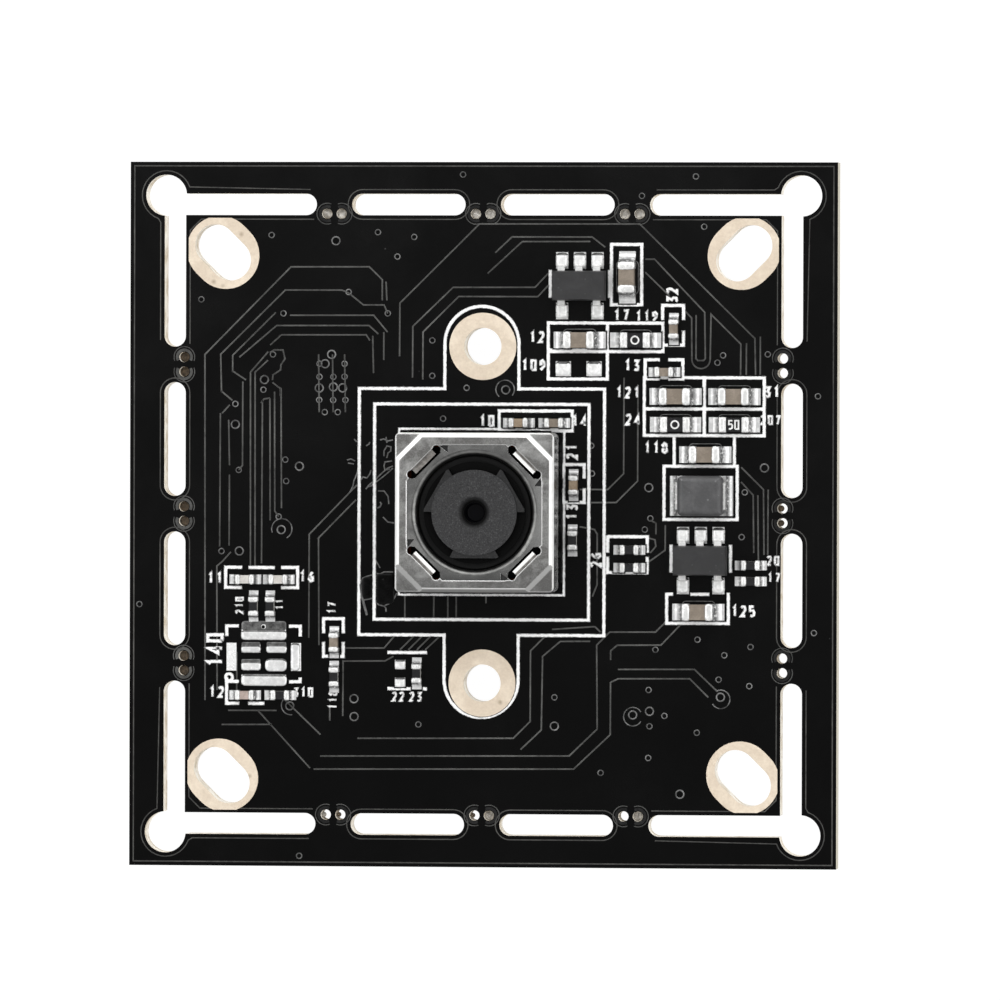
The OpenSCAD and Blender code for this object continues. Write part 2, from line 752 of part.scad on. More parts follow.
// The shallow three-cornered dent beside one end of a window.
module dent_shape() {
    translate([window_out, -window_l / 2]) polygon([[-0.11, -0.13], [-0.45, -0.47], [-0.71, -0.21]]);
}

// What is pressed down at a corner of the can, seen from the side.
module corner_step_profile() {
    fold = (can_side - can_corner) / sqrt(2);
    polygon([[fold, can_h - can_step], [fold + can_side, can_h - can_step], [fold + can_side, can_h + can_step],
             [fold - 2 * step_slope, can_h + can_step]]);
}

module motor_can() {
    color([0.75, 0.75, 0.74]) at(module_place, can_bottom) {
        difference() {
            intersection() {
                linear_extrude(can_h) rounded_square(can_side, can_side, 0.3);
                rotate([90, 0, 0]) linear_extrude(can_side, center = true) can_profile();
                rotate([90, 0, 90]) linear_extrude(can_side, center = true) can_profile();
            }
            translate([0, 0, -tiny]) linear_extrude(can_h - can_top_t + tiny) difference() {
                rounded_square(cavity, cavity, 0.15);
                circle(opening_r + lip_t);
            }
            translate([0, 0, -tiny]) cylinder(h = can_h - can_top_t - lip_h + tiny, r = opening_r + lip_t + tiny);
            for (a = [45:90:315]) rotate([90, 0, a])
                linear_extrude(can_side, center = true) corner_step_profile();
            // sunk middle and opening with its rounded edge
            translate([0, 0, can_h - can_recess]) linear_extrude(1)
                eight_sided(recess_half, recess_half + 0.14);
            translate([0, 0, can_h - 1]) cylinder(h = 2, r = opening_r);
            translate([0, 0, can_h - can_recess]) rotate_extrude() difference() {
                translate([0, -opening_round]) square([opening_r + opening_round, opening_round + tiny]);
                translate([opening_r + opening_round, -opening_round]) circle(opening_round);
            }
            for (a = [45:90:315]) rotate(a) {
                translate([0, 0, can_h - 1]) linear_extrude(2) window_shape();
                translate([0, 0, can_h - can_recess - 0.05]) linear_extrude(1) dent_shape();
            }
        }
        // tongues, bent down from the windows' outer edges
        for (a = [45:90:315]) rotate(a) {
            translate([tongue_out - tongue_t, -tongue_w / 2, tongue_top - tongue_h])
                cube([tongue_t, tongue_w, tongue_h]);
            translate([tongue_out - tongue_t, -tongue_w / 2, tongue_top - tongue_t])
                cube([window_out + 0.05 - tongue_out + tongue_t, tongue_w, tongue_t]);
        }
    }
}

module motor_magnets() {
    color([0.55, 0.55, 0.58]) at(module_place, carrier_bottom)
        linear_extrude(carrier_top - carrier_bottom) difference() {
            rounded_square(inside, inside, 0.3);
            rotate(45) square(2 * magnet_diag, center = true);
        }
}

module motor_frame_shape() {
    difference() {
        rounded_square(inside, inside, 0.3);
        eight_sided(frame_half, frame_diag);
    }
}

module front_spacer() {
    color([0.12, 0.12, 0.12]) at(module_place, carrier_top + spring_t)
        linear_extrude(ceiling_z - carrier_top - spring_t) motor_frame_shape();
}

// A leaf spring: an inner ring and an outer frame, joined by four bent arms.
module leaf_spring_shape() {
    reach = 1.4;
    motor_frame_shape();
    difference() {
        circle(carrier_r);
        circle(ring_in);
    }
    for (a = [0:90:270]) rotate(a) {
        translate([arm_in, -reach]) square([arm_w, 2 * reach]);
        translate([carrier_r - 0.45, -reach]) square([arm_in - carrier_r + 0.5, arm_w]);
        translate([arm_in, reach - arm_w]) square([frame_half - arm_in + 0.05, arm_w]);
    }
}

module front_leaf_spring() {
    color([0.8, 0.65, 0.4]) at(module_place, carrier_top) linear_extrude(spring_t) leaf_spring_shape();
}

module rear_leaf_spring() {
    color([0.8, 0.65, 0.4]) at(module_place, base_top) linear_extrude(spring_t) leaf_spring_shape();
}

// The carrier: a bore and a collar for the lens barrel, a skirt for the coil and slots for the can's tongues.
module lens_carrier() {
    color([0.06, 0.06, 0.06]) at(module_place, 0) difference() {
        union() {
            translate([0, 0, carrier_bottom]) cylinder(h = carrier_top - carrier_bottom, r = carrier_r);
            translate([0, 0, carrier_bottom]) cylinder(h = collar_top - carrier_bottom, r = collar_r);
            translate([0, 0, carrier_bottom + 0.1]) linear_extrude(skirt_top - carrier_bottom - 0.1)
                eight_sided(coil_half - fit, coil_diag - fit);
            translate([0, 0, carrier_bottom + 0.1]) linear_extrude(coil_bottom - carrier_bottom - 0.1)
                eight_sided(coil_half + coil_t - 0.04, coil_diag + coil_t - 0.04);
        }
        translate([0, 0, carrier_bottom - tiny]) cylinder(h = 5, r = barrel_r);
        for (a = [45:90:315]) rotate(a)
            translate([tongue_out - tongue_t - 0.15, -tongue_w / 2 - 0.15, carrier_bottom - tiny])
                cube([tongue_t + 0.3, tongue_w + 0.3, 5]);
    }
}

module motor_coil() {
    color([0.7, 0.4, 0.2]) at(module_place, coil_bottom) linear_extrude(coil_h) difference() {
        eight_sided(coil_half + coil_t, coil_diag + coil_t);
        eight_sided(coil_half, coil_diag);
    }
}

// ---------- lens ----------

module lug_shapes() {
    slope = lug_flat * tan(29);
    circle(face_r - 0.3);
    for (a = [30:120:270]) rotate(a) intersection() {
        circle(barrel_r - 0.03);
        polygon([[0, 0], [lug_flat, -slope], [lug_flat, slope]]);
    }
}

module lens_barrel() {
    floor_z = barrel_top - notch_depth;
    color([0.2, 0.2, 0.21]) at(module_place, 0) difference() {
        union() {
            translate([0, 0, barrel_bottom]) cylinder(h = floor_z - barrel_bottom, r = barrel_r);
            translate([0, 0, barrel_bottom]) cylinder(h = barrel_top - barrel_bottom, r = face_r);
            translate([0, 0, floor_z - 0.1]) linear_extrude(notch_depth + 0.1 - lug_drop) lug_shapes();
        }
        // bores of the lens elements, the aperture and the cone in front of it
        rotate_extrude() {
            translate([0, barrel_bottom - tiny]) square([rear_lens_r + fit, middle_seat - barrel_bottom + tiny]);
            translate([0, middle_seat - tiny]) square([middle_lens_r + fit, front_seat - middle_seat + tiny]);
            translate([0, front_seat - tiny]) square([front_lens_r + fit, web_bottom - front_seat + tiny]);
            translate([0, web_bottom - tiny]) square([aperture_r, 1]);
            polygon([[0, barrel_top - cone_depth], [aperture_r, barrel_top - cone_depth],
                     [dimple_r, barrel_top], [dimple_r, barrel_top + tiny], [0, barrel_top + tiny]]);
        }
    }
}

// Half of a circle's segment that stands on y = 0, with this half chord and height.
module segment(chord, rise) {
    r = (chord * chord + rise * rise) / (2 * rise);
    intersection() {
        translate([0, rise - r]) circle(r);
        square([chord, rise]);
    }
}

module front_lens() {
    color([0.7, 0.8, 0.9, 0.6]) at(module_place, front_seat) rotate_extrude() {
        difference() {
            square([front_lens_r, web_bottom - front_seat]);
            segment(0.68 * front_lens_r, 0.11 * front_lens_r);
        }
        translate([0, web_bottom - front_seat]) segment(0.9 * aperture_r, 0.1 * aperture_r);
    }
}

module middle_lens() {
    color([0.7, 0.8, 0.9, 0.6]) at(module_place, middle_seat) rotate_extrude() {
        difference() {
            square([middle_lens_r, front_seat - middle_seat]);
            segment(0.69 * middle_lens_r, 0.1 * middle_lens_r);
        }
        translate([0, front_seat - middle_seat]) segment(0.44 * middle_lens_r, 0.05 * middle_lens_r);
    }
}

module rear_lens() {
    color([0.7, 0.8, 0.9, 0.6]) at(module_place, rear_seat) rotate_extrude() {
        difference() {
            square([rear_lens_r, middle_seat - rear_seat]);
            segment(0.76 * rear_lens_r, 0.048 * rear_lens_r);
        }
        translate([0, middle_seat - rear_seat]) segment(0.48 * rear_lens_r, 0.048 * rear_lens_r);
    }
}

module lens_retainer() {
    color([0.1, 0.1, 0.1]) at(module_place, rear_seat - retainer_t) linear_extrude(retainer_t)
        difference() {
            circle(rear_lens_r);
            circle(rear_lens_r - 0.45);
        }
}

// Beads of glue along three sides of the housing's foot.
module housing_glue() {
    bead = 0.2;
    color([0.05, 0.05, 0.05]) at(module_place, top_z) for (a = [0, 90, 270]) rotate(a)
        translate([housing_side / 2, housing_side / 2 - 0.4, 0]) rotate([90, 0, 0])
            linear_extrude(housing_side - 0.8) difference() {
                square([bead, 2 * bead]);
                translate([2.2 * bead, 2.6 * bead]) circle(1.9 * bead);
            }
}

// ---------- front parts ----------

// A gull-wing lead that leaves the body at its parting line, seen from the side.
module gull_lead(w, inside_y, knee, tip, shoulder) {
    translate([-w / 2, 0, 0]) rotate([90, 0, 90]) linear_extrude(w)
        polygon([[inside_y, shoulder], [knee - 0.1, shoulder], [knee, pad_t], [tip, pad_t],
                 [tip, pad_t + lead_t], [knee + 0.1, pad_t + lead_t], [knee + 0.02, shoulder + lead_t],
                 [inside_y, shoulder + lead_t]]);
}

// A moulded body whose sides lean in above and below the parting line.
module moulded_body(w, d, bottom, top, parting, lean) {
    intersection() {
        rotate([90, 0, 0]) linear_extrude(d, center = true) body_profile(w, bottom, top, parting, lean);
        rotate([90, 0, 90]) linear_extrude(w, center = true) body_profile(d, bottom, top, parting, lean);
    }
}

module body_profile(w, bottom, top, parting, lean) {
    polygon([[-w / 2 + lean, bottom], [w / 2 - lean, bottom], [w / 2, parting], [w / 2 - lean, top],
             [-w / 2 + lean, top], [-w / 2, parting]]);
}

module regulator() {
    shoulder = pad_t + reg_h / 2 - lead_t / 2;
    moulded_body(reg_w, reg_d, pad_t + reg_standoff, pad_t + reg_h, pad_t + reg_h / 2, 0.07);
    for (x = [-1, 0, 1]) translate([x * lead_pitch, 0, 0])
        gull_lead(lead_w, 0.3, reg_d / 2 + 0.22, lead_span / 2, shoulder);
    for (x = [-1, 1]) translate([x * lead_pitch, 0, 0]) rotate(180)
        gull_lead(lead_w, 0.3, reg_d / 2 + 0.22, lead_span / 2, shoulder);
}

module upper_regulator() {
    color([0.1, 0.1, 0.1]) at(reg_places[0], top_z) regulator();
}

module lower_regulator() {
    color([0.1, 0.1, 0.1]) at(reg_places[1], top_z) regulator();
}

module power_inductor() {
    color([0.15, 0.15, 0.15]) at(ind_place, seat_z) {
        translate([0, 0, 0.05]) rounded_block(ind_l, ind_w, ind_h - 0.05, ind_round);
        for (s = [0, 180]) rotate(s) translate([ind_l / 2 - 0.5, ind_round - ind_w / 2, 0]) {
            cube([0.5 + ind_strap_t, ind_w - 2 * ind_round, ind_strap_t]);
            translate([0.5 - tiny, 0, 0]) cube([ind_strap_t + tiny, ind_w - 2 * ind_round, 0.65 * ind_h]);
        }
    }
}

// A chip part: a ceramic block with a metal cap at each end.
module chip_part(l, w, h, corner) {
    end = end_share * l;
    translate([0, 0, end_proud]) linear_extrude(h - 2 * end_proud)
        square([l - end, w - 2 * end_proud], center = true);
    for (s = [-1, 1]) translate([s * (l - end) / 2, 0, 0]) rounded_block(end, w, h, corner);
}

module ceramic_capacitor(i) {
    color([0.6, 0.54, 0.46]) at(cap_places[i - 1], seat_z) chip_part(cap_l, cap_w, cap_h, 0.08);
}

module link_resistor(i) {
    color([0.15, 0.15, 0.15]) at(res_places[i - 1], seat_z) chip_part(res_l, res_w, res_h, 0.04);
}

module small_capacitor(i) {
    color([0.6, 0.54, 0.46]) at(chip_cap_places[i - 1], seat_z) chip_part(chip_l, chip_w, chip_cap_h, 0.05);
}

module small_resistor(i) {
    color([0.15, 0.15, 0.15]) at(chip_res_places[i - 1], seat_z) chip_part(chip_l, chip_w, chip_res_h, 0.03);
}

// ---------- back parts ----------

module camera_processor() {
    contact_pitch = (proc_side - 1.6) / (proc_leads - 1);
    color([0.1, 0.1, 0.1]) on_back() at(proc_place, 0) {
        translate([0, 0, 0.04]) linear_extrude(proc_h - 0.04) rounded_square(proc_side, proc_side, 0.1);
        linear_extrude(0.1) square(proc_side - 2.4, center = true);
        for (a = [0:90:270], i = [0:proc_leads - 1]) rotate(a)
            translate([-proc_side / 2 + 0.8 + i * contact_pitch - 0.1, proc_side / 2 - 0.4, 0])
                cube([0.2, 0.42, 0.2]);
    }
}

module flash_memory() {
    color([0.1, 0.1, 0.1]) on_back() at(flash_place, 0) {
        moulded_body(flash_l, flash_w, pad_t + 0.1, pad_t + flash_h, pad_t + flash_h / 2, 0.12);
        for (s = [0, 180], i = [-1.5:1.5]) rotate(s) translate([i * flash_pitch, 0, 0])
            gull_lead(lead_w, 1, flash_knee, flash_span / 2, flash_h / 2);
    }
}

module clock_crystal() {
    color([0.75, 0.75, 0.72]) on_back() at(crystal_place, pad_t) {
        linear_extrude(crystal_h - 0.25) difference() {
            square([crystal_l, crystal_w], center = true);
            for (c = corners()) translate([c[0] * crystal_l / 2, c[1] * crystal_w / 2]) circle(0.15);
        }
        linear_extrude(crystal_h) rounded_square(crystal_l - 0.4, crystal_w - 0.4, 0.25);
    }
}

module cable_socket() {
    color([0.9, 0.88, 0.8]) on_back() at(socket_place, pad_t) difference() {
        translate([-socket_w / 2, -socket_d / 2, 0]) cube([socket_w, socket_d, socket_h]);
        translate([-socket_w / 2 + socket_wall, -socket_d / 2 - tiny, socket_wall])
            cube([socket_w - 2 * socket_wall, socket_d - 0.8, socket_h - 2 * socket_wall]);
        // keyways in the roof and the openings for the contacts
        for (s = [-1, 1]) translate([s * socket_w / 4 - 0.4, -socket_d / 2 - tiny, socket_h - socket_wall - tiny])
            cube([0.8, 2, socket_wall + 1]);
        for (i = [1:socket_pins_n]) translate([socket_x(i) - 0.15, 0, socket_h / 2 - 0.15])
            cube([0.3, socket_d, 0.3]);
    }
}

// The contacts with their soldered tails, and the two metal anchors at the socket's sides.
module socket_contacts() {
    color([0.8, 0.75, 0.6]) on_back() at(socket_place, 0) {
        for (i = [1:socket_pins_n]) translate([socket_x(i) - 0.15, 0, 0]) {
            translate([0, -socket_d / 2 + 0.9, pad_t + socket_h / 2 - 0.15]) cube([0.3, socket_d - 0.7, 0.3]);
            translate([0, socket_d / 2, pad_t]) cube([0.3, 0.2, socket_h / 2 + 0.15]);
            translate([0, socket_d / 2, pad_t]) cube([0.3, 1, 0.2]);
        }
        for (s = [0, 180]) rotate(s) translate([socket_w / 2, s == 0 ? -0.4 : -1, pad_t]) {
            cube([0.2, 1.4, 1.6]);
            cube([0.8, 1.4, 0.2]);
        }
    }
}

module rear_chip_parts() {
    color([0.6, 0.54, 0.46]) on_back() for (p = rear_places)
        at(p, pad_t) chip_part(chip_l, chip_w, chip_cap_h, 0.05);
}

// ---------- the module ----------

circuit_board();
plated_lands();
bare_pads();
solder_joints();
board_legend();
image_sensor();
sensor_housing();
infrared_filter();
motor_base();
motor_terminals();
motor_can();
motor_magnets();
front_spacer();
front_leaf_spring();
rear_leaf_spring();
lens_carrier();
motor_coil();
lens_barrel();
front_lens();
middle_lens();
rear_lens();
lens_retainer();
housing_glue();
upper_regulator();
lower_regulator();
power_inductor();
for (i = [1:6])
    ceramic_capacitor(i);
for (i = [1:3])
    link_resistor(i);
for (i = [1:9])
    small_capacitor(i);
for (i = [1:10])
    small_resistor(i);
camera_processor();
flash_memory();
clock_crystal();
cable_socket();
socket_contacts();
rear_chip_parts();
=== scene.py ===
"""Looks of the camera module: materials for its CAD parts, and the fine work round them, such as circuit
tracks, vias, solder, glue, printed numbers and leaf springs."""
import math

import bmesh
import bpy
from mathutils import Matrix, Vector


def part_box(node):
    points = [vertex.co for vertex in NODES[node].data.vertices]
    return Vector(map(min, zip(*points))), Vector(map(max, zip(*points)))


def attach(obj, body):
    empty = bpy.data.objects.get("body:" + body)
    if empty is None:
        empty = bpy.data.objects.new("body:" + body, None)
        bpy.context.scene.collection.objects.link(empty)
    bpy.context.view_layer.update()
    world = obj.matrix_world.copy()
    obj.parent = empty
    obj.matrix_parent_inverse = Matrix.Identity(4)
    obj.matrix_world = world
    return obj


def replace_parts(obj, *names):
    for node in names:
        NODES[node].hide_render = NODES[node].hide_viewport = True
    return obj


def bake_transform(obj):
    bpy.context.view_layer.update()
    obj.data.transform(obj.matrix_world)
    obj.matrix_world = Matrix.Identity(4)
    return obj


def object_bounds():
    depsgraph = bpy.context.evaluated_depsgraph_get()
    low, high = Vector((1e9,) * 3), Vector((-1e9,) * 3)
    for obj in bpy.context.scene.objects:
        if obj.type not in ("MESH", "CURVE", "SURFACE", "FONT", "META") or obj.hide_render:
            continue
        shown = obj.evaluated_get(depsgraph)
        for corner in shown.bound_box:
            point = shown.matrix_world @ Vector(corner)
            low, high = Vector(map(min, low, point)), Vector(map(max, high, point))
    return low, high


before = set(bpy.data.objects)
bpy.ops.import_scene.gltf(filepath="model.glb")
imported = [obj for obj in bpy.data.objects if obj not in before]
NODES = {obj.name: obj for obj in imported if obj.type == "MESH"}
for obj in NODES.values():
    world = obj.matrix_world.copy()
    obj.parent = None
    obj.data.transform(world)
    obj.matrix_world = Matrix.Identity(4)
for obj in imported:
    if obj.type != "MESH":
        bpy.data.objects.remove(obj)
cad_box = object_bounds()
MM = 0.001

# ---------------------------------------------------------------- places taken from the frame

board_low, board_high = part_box("circuit_board")
TOP = board_high[2]
BOTTOM = board_low[2]
HALF_X = board_high[0]
HALF_Y = board_high[1]
can_low, can_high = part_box("motor_can")
CAN_TOP = can_high[2]
AXIS_X = (can_low[0] + can_high[0]) / 2
AXIS_Y = (can_low[1] + can_high[1]) / 2
BARREL_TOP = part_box("lens_barrel")[1][2]


def centre(node):
    """Middle of a node as seen from above, in millimetres."""
    a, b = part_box(node)
    return (a[0] + b[0]) / 2 / MM, (a[1] + b[1]) / 2 / MM


def lengthwise(node):
    """Centre of a chip part along its long axis, that axis (0 or 1) and half its length, in metres."""
    a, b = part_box(node)
    axis = 0 if b[0] - a[0] > b[1] - a[1] else 1
    return (a[axis] + b[axis]) / 2, axis, (b[axis] - a[axis]) / 2


def numbered(name, count):
    return ["%s_%d" % (name, k) for k in range(1, count + 1)]


LARGE_CAPACITORS = numbered("ceramic_capacitor", 6)
SMALL_CAPACITORS = numbered("small_capacitor", 9)
LARGE_RESISTORS = numbered("link_resistor", 3)
SMALL_RESISTORS = numbered("small_resistor", 10)
REGULATORS = ("upper_regulator", "lower_regulator")

# ---------------------------------------------------------------- helpers for node trees


def linear(r, g, b):
    """A colour given in display values 0-255, as the shader's linear values."""
    def one(v):
        v /= 255
        return v / 12.92 if v <= 0.04045 else ((v + 0.055) / 1.055) ** 2.4
    return (one(r), one(g), one(b), 1)


def grey(value):
    return linear(value, value, value)


def plug(tree, socket, value):
    """Links a socket to another one, or sets its plain value."""
    if isinstance(value, bpy.types.NodeSocket):
        tree.links.new(value, socket)
    elif value is not None:
        socket.default_value = value


def add(tree, kind, settings=None, **inputs):
    """A node with its settings. Inputs are given by name, spaces as underscores, or by number as i0, i1..."""
    node = tree.nodes.new("ShaderNode" + kind)
    for key, value in (settings or {}).items():
        setattr(node, key, value)
    for key, value in inputs.items():
        if key[0] == "i" and key[1:].isdigit():
            plug(tree, node.inputs[int(key[1:])], value)
        else:
            plug(tree, node.inputs[key.replace("_", " ")], value)
    return node


def math_node(tree, operation, a, b=None):
    return add(tree, "Math", {"operation": operation}, i0=a, i1=b).outputs[0]


def mix_colour(tree, factor, a, b):
    return add(tree, "Mix", {"data_type": "RGBA"}, i0=factor, i6=a, i7=b).outputs[2]


def ramp(tree, value, low_at, high_at, low_value=0.0, high_value=1.0):
    """Runs from the low value at one place to the high value at the other, and stays there."""
    return add(tree, "MapRange", None, Value=value, From_Min=low_at, From_Max=high_at,
               To_Min=low_value, To_Max=high_value).outputs[0]


def curve(tree, value, points):
    """The level that belongs to a value, from a list of (value, level) points."""
    start, end = points[0][0], points[-1][0]
    node = add(tree, "ValToRGB", None, i0=ramp(tree, value, start, end))
    stops = node.color_ramp.elements
    for at, level in points:
        if at == start:
            stop = stops[0]
        elif at == end:
            stop = stops[-1]
        else:
            stop = stops.new((at - start) / (end - start))
        stop.color = (level, level, level, 1)
    return node.outputs[0]


def place_of(tree):
    return add(tree, "TexCoord").outputs["Object"]


def place_axes(tree):
    """X, Y and Z of the surface, in metres."""
    return add(tree, "SeparateXYZ", None, Vector=place_of(tree)).outputs


def normal_axes(tree, kind="Normal"):
    """X, Y and Z of the way the surface faces."""
    return add(tree, "SeparateXYZ", None, Vector=add(tree, "NewGeometry").outputs[kind]).outputs


# ---------------------------------------------------------------- camera, lights and studio

scene = bpy.context.scene
scene.view_settings.view_transform = "Standard"
scene.view_settings.look = "None"

AIM = Vector((0.00094, 0.000793, TOP))
TOWARDS_CAMERA = Vector((0.103, 0.01, 1)).normalized()
DISTANCE = 0.66
FIELD = 0.05344                         # width of what the camera sees at the board
SENSOR = 36
ROLL = 0.0027


def place_camera():
    data = bpy.data.cameras.new("camera")
    data.sensor_width = SENSOR
    data.lens = SENSOR * DISTANCE / FIELD
    data.clip_start = 0.01
    camera = bpy.data.objects.new("camera", data)
    camera.location = AIM + DISTANCE * TOWARDS_CAMERA
    look = (AIM - camera.location).normalized()
    level = look.cross(Vector((0, 1, 0))).normalized()
    upright = level.cross(look)
    right = level * math.cos(ROLL) + upright * math.sin(ROLL)
    up = upright * math.cos(ROLL) - level * math.sin(ROLL)
    camera.rotation_euler = Matrix((right, up, -look)).transposed().to_euler()
    scene.collection.objects.link(camera)
    scene.camera = camera


def area_light(name, place, size, power):
    """A rectangular lamp that shines on the middle of the board."""
    data = bpy.data.lights.new(name, "AREA")
    data.shape = "RECTANGLE"
    data.size = size[0]
    data.size_y = size[1]
    data.energy = power
    lamp = bpy.data.objects.new(name, data)
    lamp.location = place
    lamp.rotation_euler = (-Vector(place)).to_track_quat("-Z", "Y").to_euler()
    scene.collection.objects.link(lamp)


def studio():
    """Dim overhead and bright in a band round the sides, except at the front. The camera sees it white."""
    world = bpy.data.worlds.new("studio")
    scene.world = world
    world.use_nodes = True
    tree = world.node_tree
    tree.nodes.clear()
    way = add(tree, "SeparateXYZ", None, i0=add(tree, "TexCoord").outputs["Generated"]).outputs
    band = curve(tree, way[2], ((0.0, 0.15), (0.42, 0.25), (0.55, 1.0), (0.80, 1.0), (0.94, 0.0),
                                (1.0, 0.0)))
    behind = curve(tree, way[1], ((-0.7, 0.12), (-0.2, 1.0)))
    strength = ramp(tree, math_node(tree, "MULTIPLY", band, behind), 0.0, 1.0, 0.28, 1.7)
    lit = add(tree, "Background", None, Color=(1, 1, 1, 1), Strength=strength)
    white = add(tree, "Background", None, Color=(1, 1, 1, 1), Strength=1.0)
    camera_ray = add(tree, "LightPath").outputs["Is Camera Ray"]
    seen = add(tree, "MixShader", None, i0=camera_ray, i1=lit.outputs[0], i2=white.outputs[0])
    add(tree, "OutputWorld", None, i0=seen.outputs[0])


place_camera()
area_light("light_left", (-0.30, 0.10, 0.26), (0.24, 0.34), 0.36)
area_light("light_right", (0.32, 0.02, 0.24), (0.22, 0.34), 0.30)
area_light("light_top", (0.02, 0.34, 0.24), (0.34, 0.20), 0.36)
area_light("light_front", (0.02, -0.32, 0.24), (0.34, 0.18), 0.10)
studio()

# ---------------------------------------------------------------- effects that materials share


def group(name, inputs, outputs, build):
    """A shader node group. Build gets the tree and its inputs by name, and returns its outputs by name."""
    tree = bpy.data.node_groups.new(name, "ShaderNodeTree")
    for key, value in inputs.items():
        socket = tree.interface.new_socket(name=key, in_out="INPUT", socket_type="NodeSocketFloat")
        socket.default_value = value
    for key, kind in outputs.items():
        tree.interface.new_socket(name=key, in_out="OUTPUT", socket_type="NodeSocket" + kind)
    group_in = tree.nodes.new("NodeGroupInput")
    group_out = tree.nodes.new("NodeGroupOutput")
    made = build(tree, {s.name: s for s in group_in.outputs if s.name})
    for key, socket in made.items():
        tree.links.new(socket, group_out.inputs[key])
    return tree


def use(tree, group_tree, **inputs):
    node = tree.nodes.new("ShaderNodeGroup")
    node.node_tree = group_tree
    for key, value in inputs.items():
        plug(tree, node.inputs[key.replace("_", " ")], value)
    return node


def build_grain(tree, given):
    """Fine surface grain: a value and the bumped normal. Size and depth are in millimetres."""
    scale = math_node(tree, "DIVIDE", 1000.0, given["Size"])
    noise = add(tree, "TexNoise", None, Vector=place_of(tree), Scale=scale, Detail=3.0, Roughness=0.6)
    depth = math_node(tree, "MULTIPLY", given["Depth"], MM)
    bump = add(tree, "Bump", None, Height=noise.outputs[0], Distance=depth, Strength=1.0)
    return {"Value": noise.outputs[0], "Normal": bump.outputs[0]}


def build_patches(tree, given):
    """Soft-edged patches. Size is in millimetres, Amount the share they cover, Edge their softness."""
    scale = math_node(tree, "DIVIDE", 1000.0, given["Size"])
    noise = add(tree, "TexNoise", None, Vector=place_of(tree), Scale=scale, Detail=5.0, Roughness=0.65,
                Distortion=0.4)
    start = math_node(tree, "SUBTRACT", 0.74, math_node(tree, "MULTIPLY", given["Amount"], 0.5))
    end = math_node(tree, "ADD", start, given["Edge"])
    return {"Mask": ramp(tree, noise.outputs[0], start, end)}


def build_specks(tree, given):
    """Small separate specks. Size is their spacing in millimetres, Reach their radius as a share of it."""
    scale = math_node(tree, "DIVIDE", 1000.0, given["Size"])
    cell = add(tree, "TexVoronoi", None, Vector=place_of(tree), Scale=scale)
    near = ramp(tree, cell.outputs["Distance"], 0.0, given["Reach"], 1.0, 0.0)
    chance = add(tree, "SeparateColor", None, Color=cell.outputs["Color"])
    limit = math_node(tree, "SUBTRACT", 1.0, given["Amount"])
    pick = math_node(tree, "GREATER_THAN", chance.outputs[0], limit)
    return {"Mask": math_node(tree, "MULTIPLY", near, pick)}


def build_facing(tree, given):
    """Which way the plain surface faces: Up and Side as masks."""
    height = normal_axes(tree, "True Normal")[2]
    upward = math_node(tree, "GREATER_THAN", height, 0.7)
    downward = math_node(tree, "LESS_THAN", height, -0.7)
    side = math_node(tree, "SUBTRACT", 1.0, math_node(tree, "ADD", upward, downward))
    return {"Up": upward, "Side": side}


def build_edges(tree, given):
    """Finds sharp edges: a mask, and the normal as if they were rounded. Width is in millimetres."""
    bevel = add(tree, "Bevel", {"samples": 6}, Radius=math_node(tree, "MULTIPLY", given["Width"], MM))
    plain = add(tree, "NewGeometry").outputs["Normal"]
    alike = add(tree, "VectorMath", {"operation": "DOT_PRODUCT"}, i0=bevel.outputs[0], i1=plain)
    return {"Mask": ramp(tree, alike.outputs["Value"], 0.995, 0.85), "Normal": bevel.outputs[0]}


def build_streaks(tree, given):
    """Short streaks along X, as rolled metal has. Size is their width in millimetres."""
    scale = math_node(tree, "DIVIDE", 1000.0, given["Size"])
    stretch = add(tree, "Mapping", None, Vector=place_of(tree), Scale=(0.06, 1, 1))
    noise = add(tree, "TexNoise", None, Vector=stretch.outputs[0], Scale=scale, Detail=3.0, Roughness=0.7)
    return {"Value": noise.outputs[0]}


GRAIN = group("grain", {"Size": 0.1, "Depth": 0.002}, {"Value": "Float", "Normal": "Vector"}, build_grain)
PATCHES = group("patches", {"Size": 1.0, "Amount": 0.5, "Edge": 0.2}, {"Mask": "Float"}, build_patches)
SPECKS = group("specks", {"Size": 1.0, "Reach": 0.1, "Amount": 0.1}, {"Mask": "Float"}, build_specks)
FACING = group("facing", {}, {"Up": "Float", "Side": "Float"}, build_facing)
EDGES = group("edges", {"Width": 0.05}, {"Mask": "Float", "Normal": "Vector"}, build_edges)
STREAKS = group("streaks", {"Size": 0.03}, {"Value": "Float"}, build_streaks)

MATERIALS = {}


def material(name, **fixed):
    """A Principled material. Fixed are the shader's own values, by name with underscores."""
    mat = bpy.data.materials.new(name)
    mat.use_nodes = True
    tree = mat.node_tree
    shader = tree.nodes["Principled BSDF"]
    for key, value in fixed.items():
        shader.inputs[key.replace("_", " ")].default_value = value
    MATERIALS[name] = mat
    return tree, shader


def tint(tree, shader, mask, colour):
    """Turns the base colour towards another one where the mask is."""
    before = shader.inputs["Base Color"].links[0].from_socket
    plug(tree, shader.inputs["Base Color"], mix_colour(tree, mask, before, colour))


